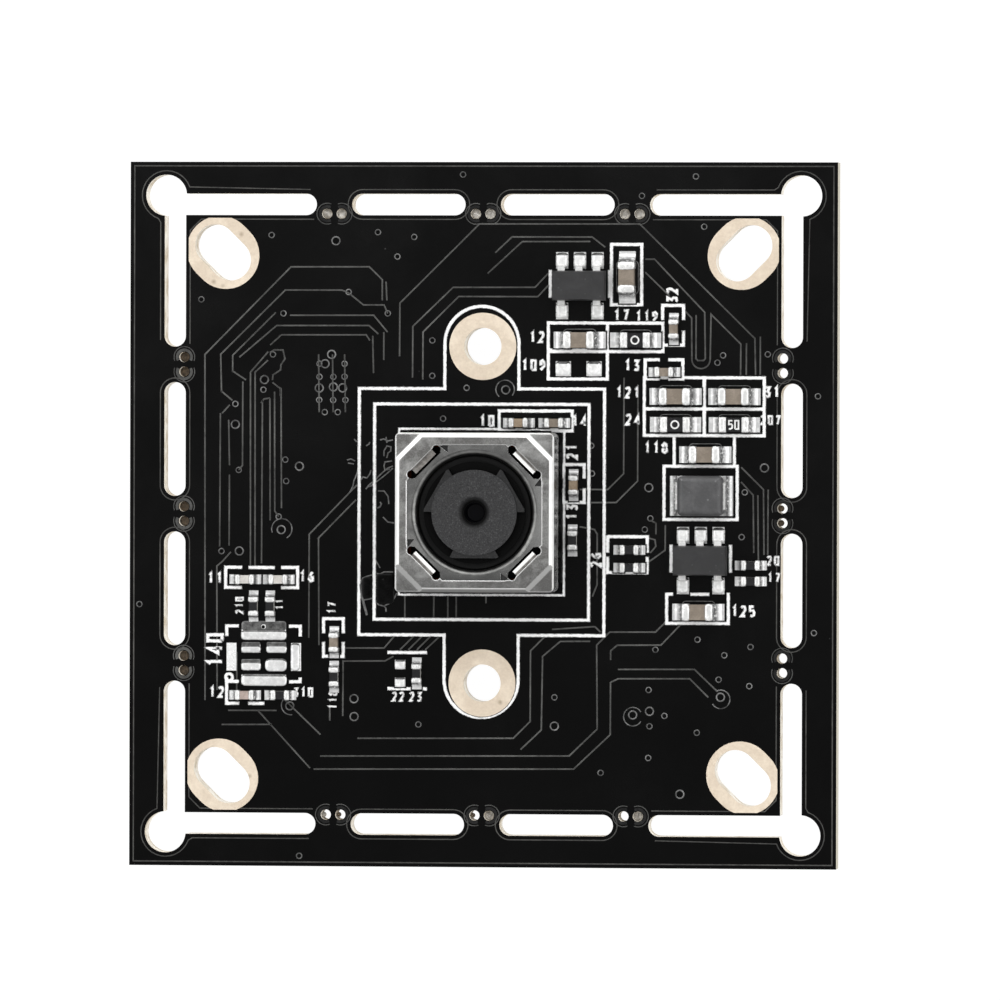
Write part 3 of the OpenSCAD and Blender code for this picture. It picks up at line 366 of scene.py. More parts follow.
def grainy(name, dark, light, size, depth, rough, patch=0.6, speck=None, rim=None, **fixed):
    """A surface whose tone wanders between two colours, with fine grain and roughness that follows it.

    Size and depth are the grain's in millimetres, rough is the least and most roughness, and patch is the
    size of its patches. Speck is the spacing, share and colour of specks. Rim is the width, colour and least
    strength of a band along its edges, which frays with the grain: frayed ink at the edges of print, and
    painted shade on solder, tin, pads and leads."""
    tree, shader = material(name, **fixed)
    grain = use(tree, GRAIN, Size=size, Depth=depth)
    patches = use(tree, PATCHES, Size=patch, Amount=0.6, Edge=0.25)
    wander = math_node(tree, "ADD", math_node(tree, "MULTIPLY", grain.outputs[0], 0.6),
                       math_node(tree, "MULTIPLY", patches.outputs[0], 0.4))
    plug(tree, shader.inputs["Base Color"], mix_colour(tree, ramp(tree, wander, 0.15, 0.75), dark, light))
    if speck:
        spacing, share, colour = speck
        tint(tree, shader, use(tree, SPECKS, Size=spacing, Reach=0.35, Amount=share).outputs[0], colour)
    if rim:
        width, colour, least = rim
        edges = use(tree, EDGES, Width=width)
        fray = ramp(tree, grain.outputs[0], 0.35, 0.6, least, 1.0)
        tint(tree, shader, math_node(tree, "MULTIPLY", edges.outputs[0], fray), colour)
    plug(tree, shader.inputs["Roughness"], ramp(tree, grain.outputs[0], 0.2, 0.8, rough[0], rough[1]))
    plug(tree, shader.inputs["Normal"], grain.outputs["Normal"])
    return tree, shader


def slope_shade_patches(tree, shader, patch, amount, edge, least, most, colour):
    """Paints shade on the slopes of solder and tin in patches, from the least share on level parts to the
    most.
    """
    steep = ramp(tree, normal_axes(tree)[2], 0.95, 0.55, least, most)
    shade_patches = use(tree, PATCHES, Size=patch, Amount=amount, Edge=edge)
    tint(tree, shader, math_node(tree, "MULTIPLY", steep, shade_patches.outputs[0]), colour)


# ---------------------------------------------------------------- materials of the board


def board_mask():
    """Glossy black mask on both faces, glass-fibre laminate on the cut edges."""
    tree, shader = material("board", Specular_IOR_Level=0.16)
    side = use(tree, FACING).outputs["Side"]
    grain = use(tree, GRAIN, Size=0.35, Depth=0.0016)
    cloud = use(tree, PATCHES, Size=6.0, Amount=0.7, Edge=0.35)
    specks = use(tree, SPECKS, Size=1.7, Reach=0.03, Amount=0.16)
    x, y, _ = place_axes(tree)
    mask = mix_colour(tree, cloud.outputs[0], grey(9), grey(14))
    # Painted shade: the mask is darker towards the front, which the lamps light least.
    mask = mix_colour(tree, ramp(tree, y, -0.012, 0.016), grey(4), mask)
    mask = mix_colour(tree, specks.outputs[0], mask, grey(78))
    layers = add(tree, "TexWave", {"wave_type": "BANDS", "bands_direction": "Z"}, Vector=place_of(tree),
                 Scale=900.0, Distortion=2.2, Detail=2.0, Detail_Scale=3.0)
    fibres = add(tree, "TexNoise", None, Vector=place_of(tree), Scale=9000.0, Detail=2.0)
    weave = math_node(tree, "MULTIPLY", layers.outputs["Fac"], fibres.outputs[0])
    laminate = mix_colour(tree, weave, linear(186, 180, 164), linear(222, 216, 201))
    # Walls of the slots are milled: paler, with scorched spots.
    inside_x = math_node(tree, "LESS_THAN", math_node(tree, "ABSOLUTE", x), HALF_X - 0.2 * MM)
    inside_y = math_node(tree, "LESS_THAN", math_node(tree, "ABSOLUTE", y), HALF_Y - 0.2 * MM)
    scorch = use(tree, PATCHES, Size=0.9, Amount=0.6, Edge=0.2)
    milled = mix_colour(tree, scorch.outputs[0], linear(246, 243, 236), linear(204, 192, 172))
    laminate = mix_colour(tree, math_node(tree, "MULTIPLY", inside_x, inside_y), laminate, milled)
    plug(tree, shader.inputs["Base Color"], mix_colour(tree, side, mask, laminate))
    rough = ramp(tree, cloud.outputs[0], 0.0, 1.0, 0.20, 0.30)
    rough = math_node(tree, "ADD", rough, math_node(tree, "MULTIPLY", side, 0.5))
    plug(tree, shader.inputs["Roughness"], rough)
    plug(tree, shader.inputs["Normal"], grain.outputs["Normal"])


def solder_and_tin():
    """Solder and tinned ends are bright, with the small hollows of hand and oven work, and painted shade in
    patches on their slopes and in a band along their edges.
    """
    tree, shader = grainy("solder", grey(218), linear(252, 252, 251), 0.3, 0.02, (0.16, 0.3), patch=0.3,
                          rim=(0.06, grey(60), 0.4), Metallic=0.25)
    slope_shade_patches(tree, shader, 0.16, 0.75, 0.12, 0.1, 0.9, grey(44))
    tree, shader = grainy("tinned_end", linear(214, 214, 213), linear(252, 252, 250), 0.3, 0.015,
                          (0.18, 0.34), patch=0.3, rim=(0.06, grey(84), 0.4), Metallic=0.25)
    slope_shade_patches(tree, shader, 0.2, 0.7, 0.15, 0.0, 0.8, grey(60))
    # Solder of the domes, with painted shade in a band along its edges.
    grainy("bright_solder", linear(214, 214, 213), linear(255, 255, 254), 0.25, 0.02, (0.16, 0.28),
           patch=0.25, rim=(0.04, grey(70), 0.5), Metallic=0.12)
    # The side of a solder dome that faces away from the lamps.
    grainy("solder_shade", grey(52), linear(120, 120, 119), 0.16, 0.02, (0.16, 0.3), patch=0.3, Metallic=0.2)


board_mask()
solder_and_tin()

# Copper and vias under the mask: only a little lighter than the board, glossy.
grainy("masked_copper", linear(52, 52, 51), linear(96, 96, 94), 0.25, 0.001, (0.22, 0.4), patch=3.5,
       Specular_IOR_Level=0.3)
grainy("masked_edge", linear(48, 48, 47), linear(84, 83, 80), 0.3, 0.001, (0.3, 0.5), patch=4.0,
       Specular_IOR_Level=0.3)
# A darker copy of the masked copper, for painted shade.
grainy("masked_copper_shade", grey(18), grey(40), 0.2, 0.002, (0.3, 0.45), patch=1.2, Specular_IOR_Level=0.2)
grainy("masked_via", grey(36), linear(132, 132, 131), 0.3, 0.002, (0.25, 0.4), patch=0.6,
       Specular_IOR_Level=0.3)
# Painted shade for the holes of the vias and the microphone's sound hole.
grainy("hole_shade", grey(1), grey(10), 0.08, 0.002, (0.5, 0.7), patch=0.5, Specular_IOR_Level=0.05)

# Bare lands round the holes, and tinned pads with painted shade in a band along their edges.
grainy("lands", linear(206, 190, 170), linear(231, 217, 197), 0.12, 0.0012, (0.34, 0.52), patch=1.2,
       speck=(0.5, 0.06, linear(160, 144, 122)), Metallic=0.1, Specular_IOR_Level=0.5)
grainy("pads", linear(226, 226, 225), linear(253, 253, 252), 0.3, 0.02, (0.2, 0.34), patch=0.35,
       speck=(0.2, 0.08, grey(150)), rim=(0.05, grey(90), 0.2), Metallic=0.2)

# Legend ink: white, a little uneven, frayed at its edges. The marks on resistors are finer.
grainy("white_ink", linear(240, 240, 239), grey(255), 0.17, 0.004, (0.45, 0.65), patch=0.8,
       rim=(0.1, grey(16), 0.0), Specular_IOR_Level=0.35)
grainy("number_mark", linear(200, 200, 198), linear(240, 240, 238), 0.06, 0.002, (0.4, 0.6), patch=0.3)

# Discs in the perforations, the dark ones in painted shade; smears and glue.
grainy("hole_wall_shade", linear(56, 47, 38), linear(112, 98, 82), 0.12, 0.01, (0.5, 0.7), patch=0.25)
grainy("hole_fill_pale", linear(112, 108, 102), linear(222, 220, 216), 0.16, 0.01, (0.5, 0.7), patch=0.25)
grainy("scuff", grey(58), linear(104, 104, 103), 0.1, 0.002, (0.4, 0.7), patch=0.4)
grainy("black_glue", grey(2), grey(10), 0.3, 0.006, (0.2, 0.35), patch=0.6, Specular_IOR_Level=0.12)
grainy("clear_glue", grey(64), linear(128, 128, 127), 0.16, 0.01, (0.1, 0.25), patch=0.25,
       Coat_Weight=0.5, Coat_Roughness=0.1)

# ---------------------------------------------------------------- materials of the focus motor and the lens


def can_sheet():
    """Rolled sheet with a satin grain, painted highlights along its edges and painted shade towards the
    front.
    """
    tree, shader = material("can_metal", Metallic=1.0)
    grain = use(tree, GRAIN, Size=0.07, Depth=0.0034)
    streaks = use(tree, STREAKS, Size=0.05)
    patches = use(tree, PATCHES, Size=1.5, Amount=0.6, Edge=0.3)
    edges = use(tree, EDGES, Width=0.12)
    side = use(tree, FACING).outputs["Side"]
    tone = math_node(tree, "ADD", math_node(tree, "MULTIPLY", grain.outputs[0], 0.55),
                     math_node(tree, "MULTIPLY", patches.outputs[0], 0.45))
    plug(tree, shader.inputs["Base Color"], mix_colour(tree, ramp(tree, tone, 0.25, 0.7),
                                                       linear(132, 131, 129), linear(206, 206, 204)))
    # Painted shade towards the front, which faces away from the lamps.
    front = ramp(tree, place_axes(tree)[1], AXIS_Y - 2.2 * MM, AXIS_Y - 4.2 * MM, 0.0, 0.55)
    tint(tree, shader, front, linear(104, 104, 103))
    # Painted highlight along the edges.
    tint(tree, shader, edges.outputs[0], linear(252, 252, 251))
    rough = ramp(tree, streaks.outputs[0], 0.2, 0.8, 0.30, 0.46)
    rough = math_node(tree, "SUBTRACT", rough, math_node(tree, "MULTIPLY", side, 0.15))
    plug(tree, shader.inputs["Roughness"], rough)
    bump = add(tree, "Bump", None, Height=grain.outputs[0], Distance=0.0034 * MM, Strength=1.0,
               Normal=edges.outputs["Normal"])
    plug(tree, shader.inputs["Normal"], bump.outputs[0])


def can_ledge():
    """The sunk ledge, with painted shade at the front and a painted highlight at the right."""
    tree, shader = grainy("can_ledge", linear(146, 146, 145), linear(206, 206, 204), 0.9, 0.02, (0.2, 0.3),
                          patch=2.2, Metallic=1.0)
    x, y, _ = place_axes(tree)
    tint(tree, shader, ramp(tree, y, AXIS_Y - 3.0 * MM, AXIS_Y - 3.6 * MM), linear(128, 128, 127))
    tint(tree, shader, ramp(tree, x, AXIS_X + 2.8 * MM, AXIS_X + 3.6 * MM, 0.0, 0.7), linear(226, 226, 224))


def can_edge():
    """The folded edges: a painted highlight in a near-white colour, but for the front side, which faces away
    from the lamps and takes painted shade.
    """
    tree, shader = grainy("can_edge", linear(236, 236, 234), linear(255, 255, 253), 0.2, 0.003, (0.4, 0.55),
                          patch=1.0, Metallic=0.12)
    tint(tree, shader, ramp(tree, normal_axes(tree)[1], 0.05, -0.45), linear(120, 120, 119))


def can_tongue():
    """The tongues' inner half lies flat and takes a painted highlight, but for the far left one, which is
    bent deeper.
    """
    tree, shader = grainy("can_tongue", linear(104, 98, 94), linear(176, 173, 168), 0.12, 0.006, (0.3, 0.45),
                          patch=0.5)
    x, y, _ = place_axes(tree)
    off_x = math_node(tree, "SUBTRACT", x, AXIS_X)
    off_y = math_node(tree, "SUBTRACT", y, AXIS_Y)
    reach = math_node(tree, "ADD", math_node(tree, "ABSOLUTE", off_x), math_node(tree, "ABSOLUTE", off_y))
    inner = ramp(tree, reach, 3.86 * MM * math.sqrt(2), 3.82 * MM * math.sqrt(2))
    far_left = math_node(tree, "GREATER_THAN", math_node(tree, "SUBTRACT", off_y, off_x), 3.0 * MM)
    inner = math_node(tree, "MULTIPLY", inner, math_node(tree, "SUBTRACT", 1.0, far_left))
    # Painted highlight on the inner half.
    tint(tree, shader, inner, linear(248, 248, 246))
    plug(tree, shader.inputs["Metallic"], ramp(tree, inner, 0.0, 1.0, 0.6, 0.15))


def barrel_plastic():
    """Moulded black plastic with a sparkling grain; painted shade darkens its cone, its hollow and its lugs
    below their tops.
    """
    tree, shader = material("barrel_plastic")
    grain = use(tree, GRAIN, Size=0.06, Depth=0.012)
    sparkle = use(tree, SPECKS, Size=0.09, Reach=0.55, Amount=0.35)
    tone = mix_colour(tree, ramp(tree, grain.outputs[0], 0.3, 0.7), linear(22, 22, 23), linear(58, 58, 59))
    plug(tree, shader.inputs["Base Color"], tone)
    tint(tree, shader, math_node(tree, "MULTIPLY", sparkle.outputs[0], 0.45), linear(96, 96, 97))
    x, y, z = place_axes(tree)
    off = add(tree, "CombineXYZ", None, X=math_node(tree, "SUBTRACT", x, AXIS_X),
              Y=math_node(tree, "SUBTRACT", y, AXIS_Y))
    off = add(tree, "VectorMath", {"operation": "LENGTH"}, i0=off.outputs[0]).outputs["Value"]
    # Painted shade in the cone and the hollow, which also reflect less, and on the lugs below their tops.
    cone = ramp(tree, off, 0.90 * MM, 0.64 * MM)
    hollow = ramp(tree, z, BARREL_TOP - 0.12 * MM, BARREL_TOP - 0.26 * MM)
    sunk = math_node(tree, "MAXIMUM", cone, hollow)
    lugs = ramp(tree, z, BARREL_TOP - 0.02 * MM, BARREL_TOP - 0.04 * MM, 0.0, 0.6)
    tint(tree, shader, math_node(tree, "MAXIMUM", sunk, lugs), grey(7))
    plug(tree, shader.inputs["Specular IOR Level"], ramp(tree, sunk, 0.0, 1.0, 0.3, 0.04))
    plug(tree, shader.inputs["Roughness"], ramp(tree, grain.outputs[0], 0.2, 0.8, 0.42, 0.6))
    plug(tree, shader.inputs["Normal"], grain.outputs["Normal"])


def sensor_glass():
    """Dark cover glass over a grid of picture cells."""
    tree, shader = material("sensor_glass", Coat_Weight=1.0, Coat_Roughness=0.03)
    cells = add(tree, "TexChecker", None, Vector=place_of(tree), Scale=18000.0,
                Color1=linear(22, 40, 44), Color2=linear(58, 44, 66))
    grain = use(tree, GRAIN, Size=0.3, Depth=0.0005)
    border = mix_colour(tree, grain.outputs[0], grey(30), linear(52, 52, 50))
    plug(tree, shader.inputs["Base Color"],
         mix_colour(tree, use(tree, FACING).outputs["Up"], border, cells.outputs[0]))
    plug(tree, shader.inputs["Roughness"], ramp(tree, grain.outputs[0], 0.2, 0.8, 0.08, 0.2))


def coated_glass(name, deep, pale, gloss):
    """A lens element or filter: glass with a coating's faint tint."""
    tree, shader = material(name, Transmission_Weight=gloss + 0.25, IOR=1.5, Specular_IOR_Level=gloss,
                            Roughness=0.03)
    patches = use(tree, PATCHES, Size=2.5, Amount=0.5, Edge=0.4)
    plug(tree, shader.inputs["Base Color"], mix_colour(tree, patches.outputs[0], deep, pale))


def copper_wire():
    """Fine enamelled wire laid in turns."""
    tree, shader = material("copper_wire", Metallic=1.0)
    turns = add(tree, "TexWave", {"wave_type": "BANDS", "bands_direction": "Z"}, Vector=place_of(tree),
                Scale=3200.0, Distortion=0.15)
    grain = use(tree, GRAIN, Size=0.2, Depth=0.001)
    plug(tree, shader.inputs["Base Color"],
         mix_colour(tree, turns.outputs["Fac"], linear(70, 30, 16), linear(150, 80, 46)))
    plug(tree, shader.inputs["Roughness"], ramp(tree, grain.outputs[0], 0.2, 0.8, 0.22, 0.38))
    bump = add(tree, "Bump", None, Height=turns.outputs["Fac"], Distance=0.02 * MM, Strength=1.0)
    plug(tree, shader.inputs["Normal"], bump.outputs[0])


can_sheet()
can_ledge()
can_edge()
can_tongue()
barrel_plastic()
sensor_glass()
coated_glass("lens_glass", linear(3, 3, 6), linear(14, 14, 22), 0.05)
coated_glass("filter_glass", linear(84, 120, 128), linear(150, 176, 180), 0.5)
copper_wire()
grainy("can_rim", linear(96, 96, 95), linear(138, 138, 136), 0.25, 0.003, (0.28, 0.42), patch=0.9,
       Metallic=1.0)
grainy("can_dent", grey(30), grey(52), 0.1, 0.002, (0.4, 0.6), patch=0.5, Metallic=0.5)
grainy("black_plastic", linear(14, 14, 15), linear(30, 30, 31), 0.06, 0.003, (0.4, 0.6), patch=0.7)
grainy("carrier_plastic", grey(3), grey(12), 0.08, 0.003, (0.45, 0.6), patch=0.7, Specular_IOR_Level=0.16)
grainy("magnet_plate", linear(140, 140, 144), linear(190, 190, 193), 0.1, 0.002, (0.2, 0.36), patch=0.6,
       Metallic=1.0)
grainy("spring_metal", linear(190, 164, 108), linear(226, 204, 150), 0.08, 0.001, (0.2, 0.34), patch=0.6,
       Metallic=1.0)

# ---------------------------------------------------------------- materials of the chip parts and the socket

grainy("mould_compound", linear(28, 28, 29), linear(43, 43, 44), 0.05, 0.004, (0.42, 0.62), patch=0.9,
       speck=(0.16, 0.08, linear(66, 66, 67)))
# Leads, with painted shade in a band along their edges.
grainy("lead_metal", linear(218, 218, 217), linear(252, 252, 250), 0.2, 0.01, (0.18, 0.3), patch=0.4,
       rim=(0.05, grey(60), 0.4), Metallic=0.15)
grainy("ferrite", linear(60, 60, 61), linear(84, 84, 85), 0.08, 0.006, (0.38, 0.6), patch=0.8,
       speck=(0.2, 0.12, linear(124, 124, 125)))
grainy("capacitor_ceramic", linear(112, 102, 90), linear(144, 133, 121), 0.07, 0.002, (0.3, 0.5), patch=0.6)
grainy("brown_ceramic", linear(126, 108, 88), linear(168, 150, 128), 0.07, 0.002, (0.3, 0.5), patch=0.5)
grainy("pink_ceramic", linear(146, 130, 122), linear(184, 168, 160), 0.07, 0.002, (0.3, 0.5), patch=0.5)
grainy("grey_ceramic", linear(176, 172, 166), linear(214, 211, 206), 0.07, 0.002, (0.3, 0.5), patch=0.4)
grainy("resistor_ceramic", linear(196, 194, 188), linear(228, 226, 220), 0.06, 0.002, (0.4, 0.6), patch=0.5)
grainy("resistor_glaze", linear(16, 16, 17), linear(34, 34, 36), 0.1, 0.002, (0.14, 0.3), patch=0.4,
       Coat_Weight=0.5, Coat_Roughness=0.1)
grainy("ivory_plastic", linear(212, 202, 178), linear(232, 224, 202), 0.09, 0.002, (0.34, 0.5), patch=1.4,
       Subsurface_Weight=0.08, Subsurface_Radius=(0.0006, 0.0004, 0.0002))
grainy("contact_metal", linear(196, 176, 124), linear(232, 216, 168), 0.09, 0.002, (0.18, 0.34), patch=0.5,
       Metallic=1.0)

# ---------------------------------------------------------------- painting the CAD nodes

PLAIN_NODES = {
    "circuit_board": "board", "plated_lands": "lands", "bare_pads": "pads", "solder_joints": "solder",
    "board_legend": "white_ink", "image_sensor": "sensor_glass", "sensor_housing": "black_plastic",
    "infrared_filter": "filter_glass", "motor_base": "black_plastic", "motor_terminals": "contact_metal",
    "motor_magnets": "magnet_plate", "front_spacer": "carrier_plastic", "front_leaf_spring": "spring_metal",
    "rear_leaf_spring": "spring_metal", "lens_carrier": "carrier_plastic", "motor_coil": "copper_wire",
    "lens_barrel": "barrel_plastic", "front_lens": "lens_glass", "middle_lens": "lens_glass",
    "rear_lens": "lens_glass", "lens_retainer": "black_plastic", "housing_glue": "black_glue",
    "cable_socket": "ivory_plastic", "socket_contacts": "contact_metal",
}
OTHER_CERAMICS = {
    "small_capacitor_3": "brown_ceramic", "small_capacitor_5": "brown_ceramic",
    "small_capacitor_6": "grey_ceramic", "small_capacitor_7": "grey_ceramic",
    "small_capacitor_9": "pink_ceramic",
}
END_SHARE = 0.24                        # share of a chip part's length that each tinned end takes


def paint(node, *names):
    """Gives a CAD node these materials; the first one goes everywhere."""
    mesh = NODES[node].data
    mesh.materials.clear()
    for name in names:
        mesh.materials.append(MATERIALS[name])
    for poly in mesh.polygons:
        poly.material_index = 0


def paint_where(node, name, test):
    """Gives faces this one of the node's materials where the test of their centre and normal holds."""
    mesh = NODES[node].data
    index = list(mesh.materials).index(MATERIALS[name])
    for poly in mesh.polygons:
        if test(poly.center, poly.normal):
            poly.material_index = index


def paint_can():
    """The can's faces are told apart by their depth under its top and their distance from the axis."""
    paint("motor_can", "can_metal", "can_rim", "can_ledge", "can_dent", "can_edge", "can_tongue")

    def off_axis(c):
        return math.hypot(c[0] - AXIS_X, c[1] - AXIS_Y)

    def lies_at(c, n, depth, within):
        return n[2] > 0.9 and abs(c[2] - CAN_TOP + depth * MM) < within * MM

    paint_where("motor_can", "can_ledge", lambda c, n: lies_at(c, n, 0.1, 0.01))
    paint_where("motor_can", "can_dent", lambda c, n: lies_at(c, n, 0.15, 0.006))
    paint_where("motor_can", "can_rim", lambda c, n: off_axis(c) < 3.37 * MM and abs(n[2]) < 0.999)
    paint_where("motor_can", "can_edge", lambda c, n: off_axis(c) > 3.9 * MM and 0.1 < n[2] < 0.995)
    paint_where("motor_can", "can_tongue", lambda c, n: off_axis(c) > 3.5 * MM and lies_at(c, n, 0.16, 0.004))


def paint_ends(node, body, top=None):
    """Body material in the middle of a chip part, tinned ends, and its own top where given."""
    paint(node, body, "tinned_end", *([top] if top else []))
    middle, axis, half = lengthwise(node)
    border = half * (1 - 2 * END_SHARE) * 1.001
    paint_where(node, "tinned_end", lambda c, n: abs(c[axis] - middle) > border)
    if top:
        paint_where(node, top, lambda c, n: abs(c[axis] - middle) <= border and n[2] > 0.9)


def paint_leaded_chip(node, half_depth):
    """A moulded body whose leads are all that lies outside its depth."""
    paint(node, "mould_compound", "lead_metal")
    middle = centre(node)[1] * MM
    paint_where(node, "lead_metal", lambda c, n: abs(c[1] - middle) > (half_depth + 0.005) * MM)


def paint_inductor():
    """Tin covers its end faces and runs a little way under its ends."""
    paint("power_inductor", "ferrite", "tinned_end")
    middle, axis, half = lengthwise("power_inductor")
    paint_where("power_inductor", "tinned_end", lambda c, n: abs(c[axis] - middle) > half - 0.125 * MM or
                (c[2] < TOP + 0.18 * MM and abs(c[axis] - middle) > half - 0.65 * MM))


def paint_processor():
    """Its contacts lie round its foot, next to the board's back."""
    paint("camera_processor", "mould_compound", "lead_metal")
    a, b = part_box("camera_processor")
    x, y = centre("camera_processor")
    half = (b[0] - a[0]) / 2
    contact_foot = BOTTOM - 0.21 * MM
    stand_off = BOTTOM - 0.039 * MM
    paint_where("camera_processor", "lead_metal", lambda c, n: c[2] > contact_foot and
                (max(abs(c[0] - x * MM), abs(c[1] - y * MM)) > half - 0.021 * MM or c[2] > stand_off))


def paint_crystal():
    """A ceramic base under a metal lid, which is the part farthest from the board."""
    paint("clock_crystal", "resistor_ceramic", "can_metal")
    lid_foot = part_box("clock_crystal")[0][2] + 0.249 * MM
    paint_where("clock_crystal", "can_metal", lambda c, n: c[2] < lid_foot)


def paint_group_ends(node):
    """Tinned ends for a node that holds several chip parts: each loose piece is found by its own box."""
    paint(node, "capacitor_ceramic", "tinned_end")
    mesh = NODES[node].data
    tinned = list(mesh.materials).index(MATERIALS["tinned_end"])
    parent = list(range(len(mesh.vertices)))

    def root(k):
        while parent[k] != k:
            parent[k] = parent[parent[k]]
            k = parent[k]
        return k

    same = {}
    for v in mesh.vertices:
        key = tuple(round(q * 1e6) for q in v.co)
        if key in same:
            parent[root(v.index)] = root(same[key])
        same[key] = v.index
    for e in mesh.edges:
        parent[root(e.vertices[0])] = root(e.vertices[1])
    boxes = {}
    for v in mesh.vertices:
        r = root(v.index)
        x0, x1, y0, y1 = boxes.get(r, (9, -9, 9, -9))
        boxes[r] = (min(x0, v.co[0]), max(x1, v.co[0]), min(y0, v.co[1]), max(y1, v.co[1]))
    for poly in mesh.polygons:
        x0, x1, y0, y1 = boxes[root(poly.vertices[0])]
        axis, start, end = (0, x0, x1) if x1 - x0 > y1 - y0 else (1, y0, y1)
        off = abs(poly.center[axis] - (start + end) / 2) / ((end - start) / 2)
        if off > (1 - 2 * END_SHARE) * 1.001:
            poly.material_index = tinned


for node, name in PLAIN_NODES.items():
    paint(node, name)
paint_can()
for node in LARGE_CAPACITORS + SMALL_CAPACITORS:
    paint_ends(node, OTHER_CERAMICS.get(node, "capacitor_ceramic"))
for node in LARGE_RESISTORS + SMALL_RESISTORS:
    paint_ends(node, "resistor_ceramic", top="resistor_glaze")
for node in REGULATORS:
    paint_leaded_chip(node, 0.8)
paint_leaded_chip("flash_memory", 1.95)
paint_inductor()
paint_processor()
paint_crystal()
paint_group_ends("rear_chip_parts")

# ---------------------------------------------------------------- mesh builders

QUARTERS = ((1, 0), (0, 1), (-1, 0), (0, -1))       # cosine and sine of each quarter turn


def made(name, bm, mats, smooth=False):
    """Turns a bmesh into an object with these materials."""
    mesh = bpy.data.meshes.new(name)
    bmesh.ops.recalc_face_normals(bm, faces=bm.faces)
    bm.to_mesh(mesh)
    bm.free()
    for mat in mats:
        mesh.materials.append(MATERIALS[mat])
    for poly in mesh.polygons:
        poly.use_smooth = smooth
    ob = bpy.data.objects.new(name, mesh)
    scene.collection.objects.link(ob)
    return ob


def piece(name, bm, mats, body="board", smooth=False):
    """An object that moves with a body."""
    ob = made(name, bm, mats, smooth)
    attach(ob, body)
    return ob


def spin(points, quarter):
    """Points in millimetres, turned that many quarter turns round the origin."""
    c, s = QUARTERS[quarter]
    return [(x * c - y * s, x * s + y * c) for x, y in points]


def arc(x, y, r, start, end, steps=16):
    """Points round x, y from one angle in degrees to another."""
    return [(x + r * math.cos(math.radians(start + (end - start) * k / steps)),
             y + r * math.sin(math.radians(start + (end - start) * k / steps))) for k in range(steps + 1)]


def circle(x, y, r, steps):
    return arc(x, y, r, 0, 360, steps)[:-1]


def ribbon(bm, points, width, height, z=TOP, closed=False, index=0):
    """A raised band with slanting sides along points in millimetres, mitred at its corners."""
    n = len(points)
    rows = []
    for i, p in enumerate(points):
        p = Vector(p)
        before = (p - Vector(points[i - 1])).normalized() if i or closed else None
        after = (Vector(points[(i + 1) % n]) - p).normalized() if i < n - 1 or closed else None
        stretch = 1.0
        if before is None or after is None:
            way = after if before is None else before
        else:
            way = (before + after).normalized()
        side = Vector((-way.y, way.x))
        if before is not None and after is not None:
            stretch = 1 / max(0.4, side.dot(Vector((-before.y, before.x))))
        w = width / 2 * stretch
        slope = min(height, width / 3)
        row = []
        for off, lift in ((-w, 0), (-w + slope, height), (w - slope, height), (w, 0)):
            q = p + side * off
            row.append(bm.verts.new((q.x * MM, q.y * MM, z + lift * MM)))
        rows.append(row)
    pairs = list(zip(rows, rows[1:])) + ([(rows[-1], rows[0])] if closed else [])
    for r1, r2 in pairs:
        for k in range(4):
            bm.faces.new((r1[k], r1[(k + 1) % 4], r2[(k + 1) % 4], r2[k])).material_index = index
    if not closed:
        bm.faces.new(list(reversed(rows[0]))).material_index = index
        bm.faces.new(rows[-1]).material_index = index


def ring(bm, x, y, outer, inner, height, base=TOP, way=1, steps=20):
    """A low raised ring, such as a via under the mask; its sunk middle takes the second material.
    Way is -1 on the board's back."""
    loops = []
    for r, lift in ((outer, 0.0), (outer - 0.03, height), (inner + 0.03, height), (inner, height * 0.3)):
        loops.append([bm.verts.new(((x + r * math.cos(2 * math.pi * k / steps)) * MM,
                                    (y + r * math.sin(2 * math.pi * k / steps)) * MM,
                                    base + way * lift * MM)) for k in range(steps)])
    for a_loop, b_loop in zip(loops, loops[1:]):
        for k in range(steps):
            bm.faces.new((a_loop[k], a_loop[(k + 1) % steps], b_loop[(k + 1) % steps], b_loop[k]))
    # The sunk middle is painted shade for the via's hole.
    bm.faces.new(loops[-1]).material_index = 1
    bm.faces.new(list(reversed(loops[0])))


def pillow(bm, low_corner, high_corner, height, round_by, base=TOP, steps=7, index=0, shaded=False):
    """A dome with a rounded rectangular foot, corners in millimetres.
    Where it is shaded, the side away from the lamps takes the second material."""
    x0, y0 = low_corner
    x1, y1 = high_corner
    corners = ((x1 - round_by, y1 - round_by, 0), (x0 + round_by, y1 - round_by, 90),
               (x0 + round_by, y0 + round_by, 180), (x1 - round_by, y0 + round_by, 270))
    rows = []
    for k in range(steps + 1):
        slant = k / steps * math.pi / 2
        r = max(0.02, round_by * math.cos(slant))
        lift = math.sin(slant) * height
        row = []
        for x, y, start in corners:
            for q in range(5):
                angle = math.radians(start + 22.5 * q)
                row.append(bm.verts.new(((x + r * math.cos(angle)) * MM, (y + r * math.sin(angle)) * MM,
                                         base + lift * MM)))
        rows.append(row)
    n = len(rows[0])
    for low_row, high_row in zip(rows, rows[1:]):
        for q in range(n):
            face = bm.faces.new((low_row[q], low_row[(q + 1) % n], high_row[(q + 1) % n], high_row[q]))
            face.normal_update()
            face.material_index = 1 if shaded and face.normal.y > 0.25 else index
    bm.faces.new(rows[-1]).material_index = index
    bm.faces.new(list(reversed(rows[0]))).material_index = index


def corner_box(x, y, half_x, half_y):
    """Low and high corner of a foot centred at x, y."""
    return (x - half_x, y - half_y), (x + half_x, y + half_y)


# ---------------------------------------------------------------- leaf springs

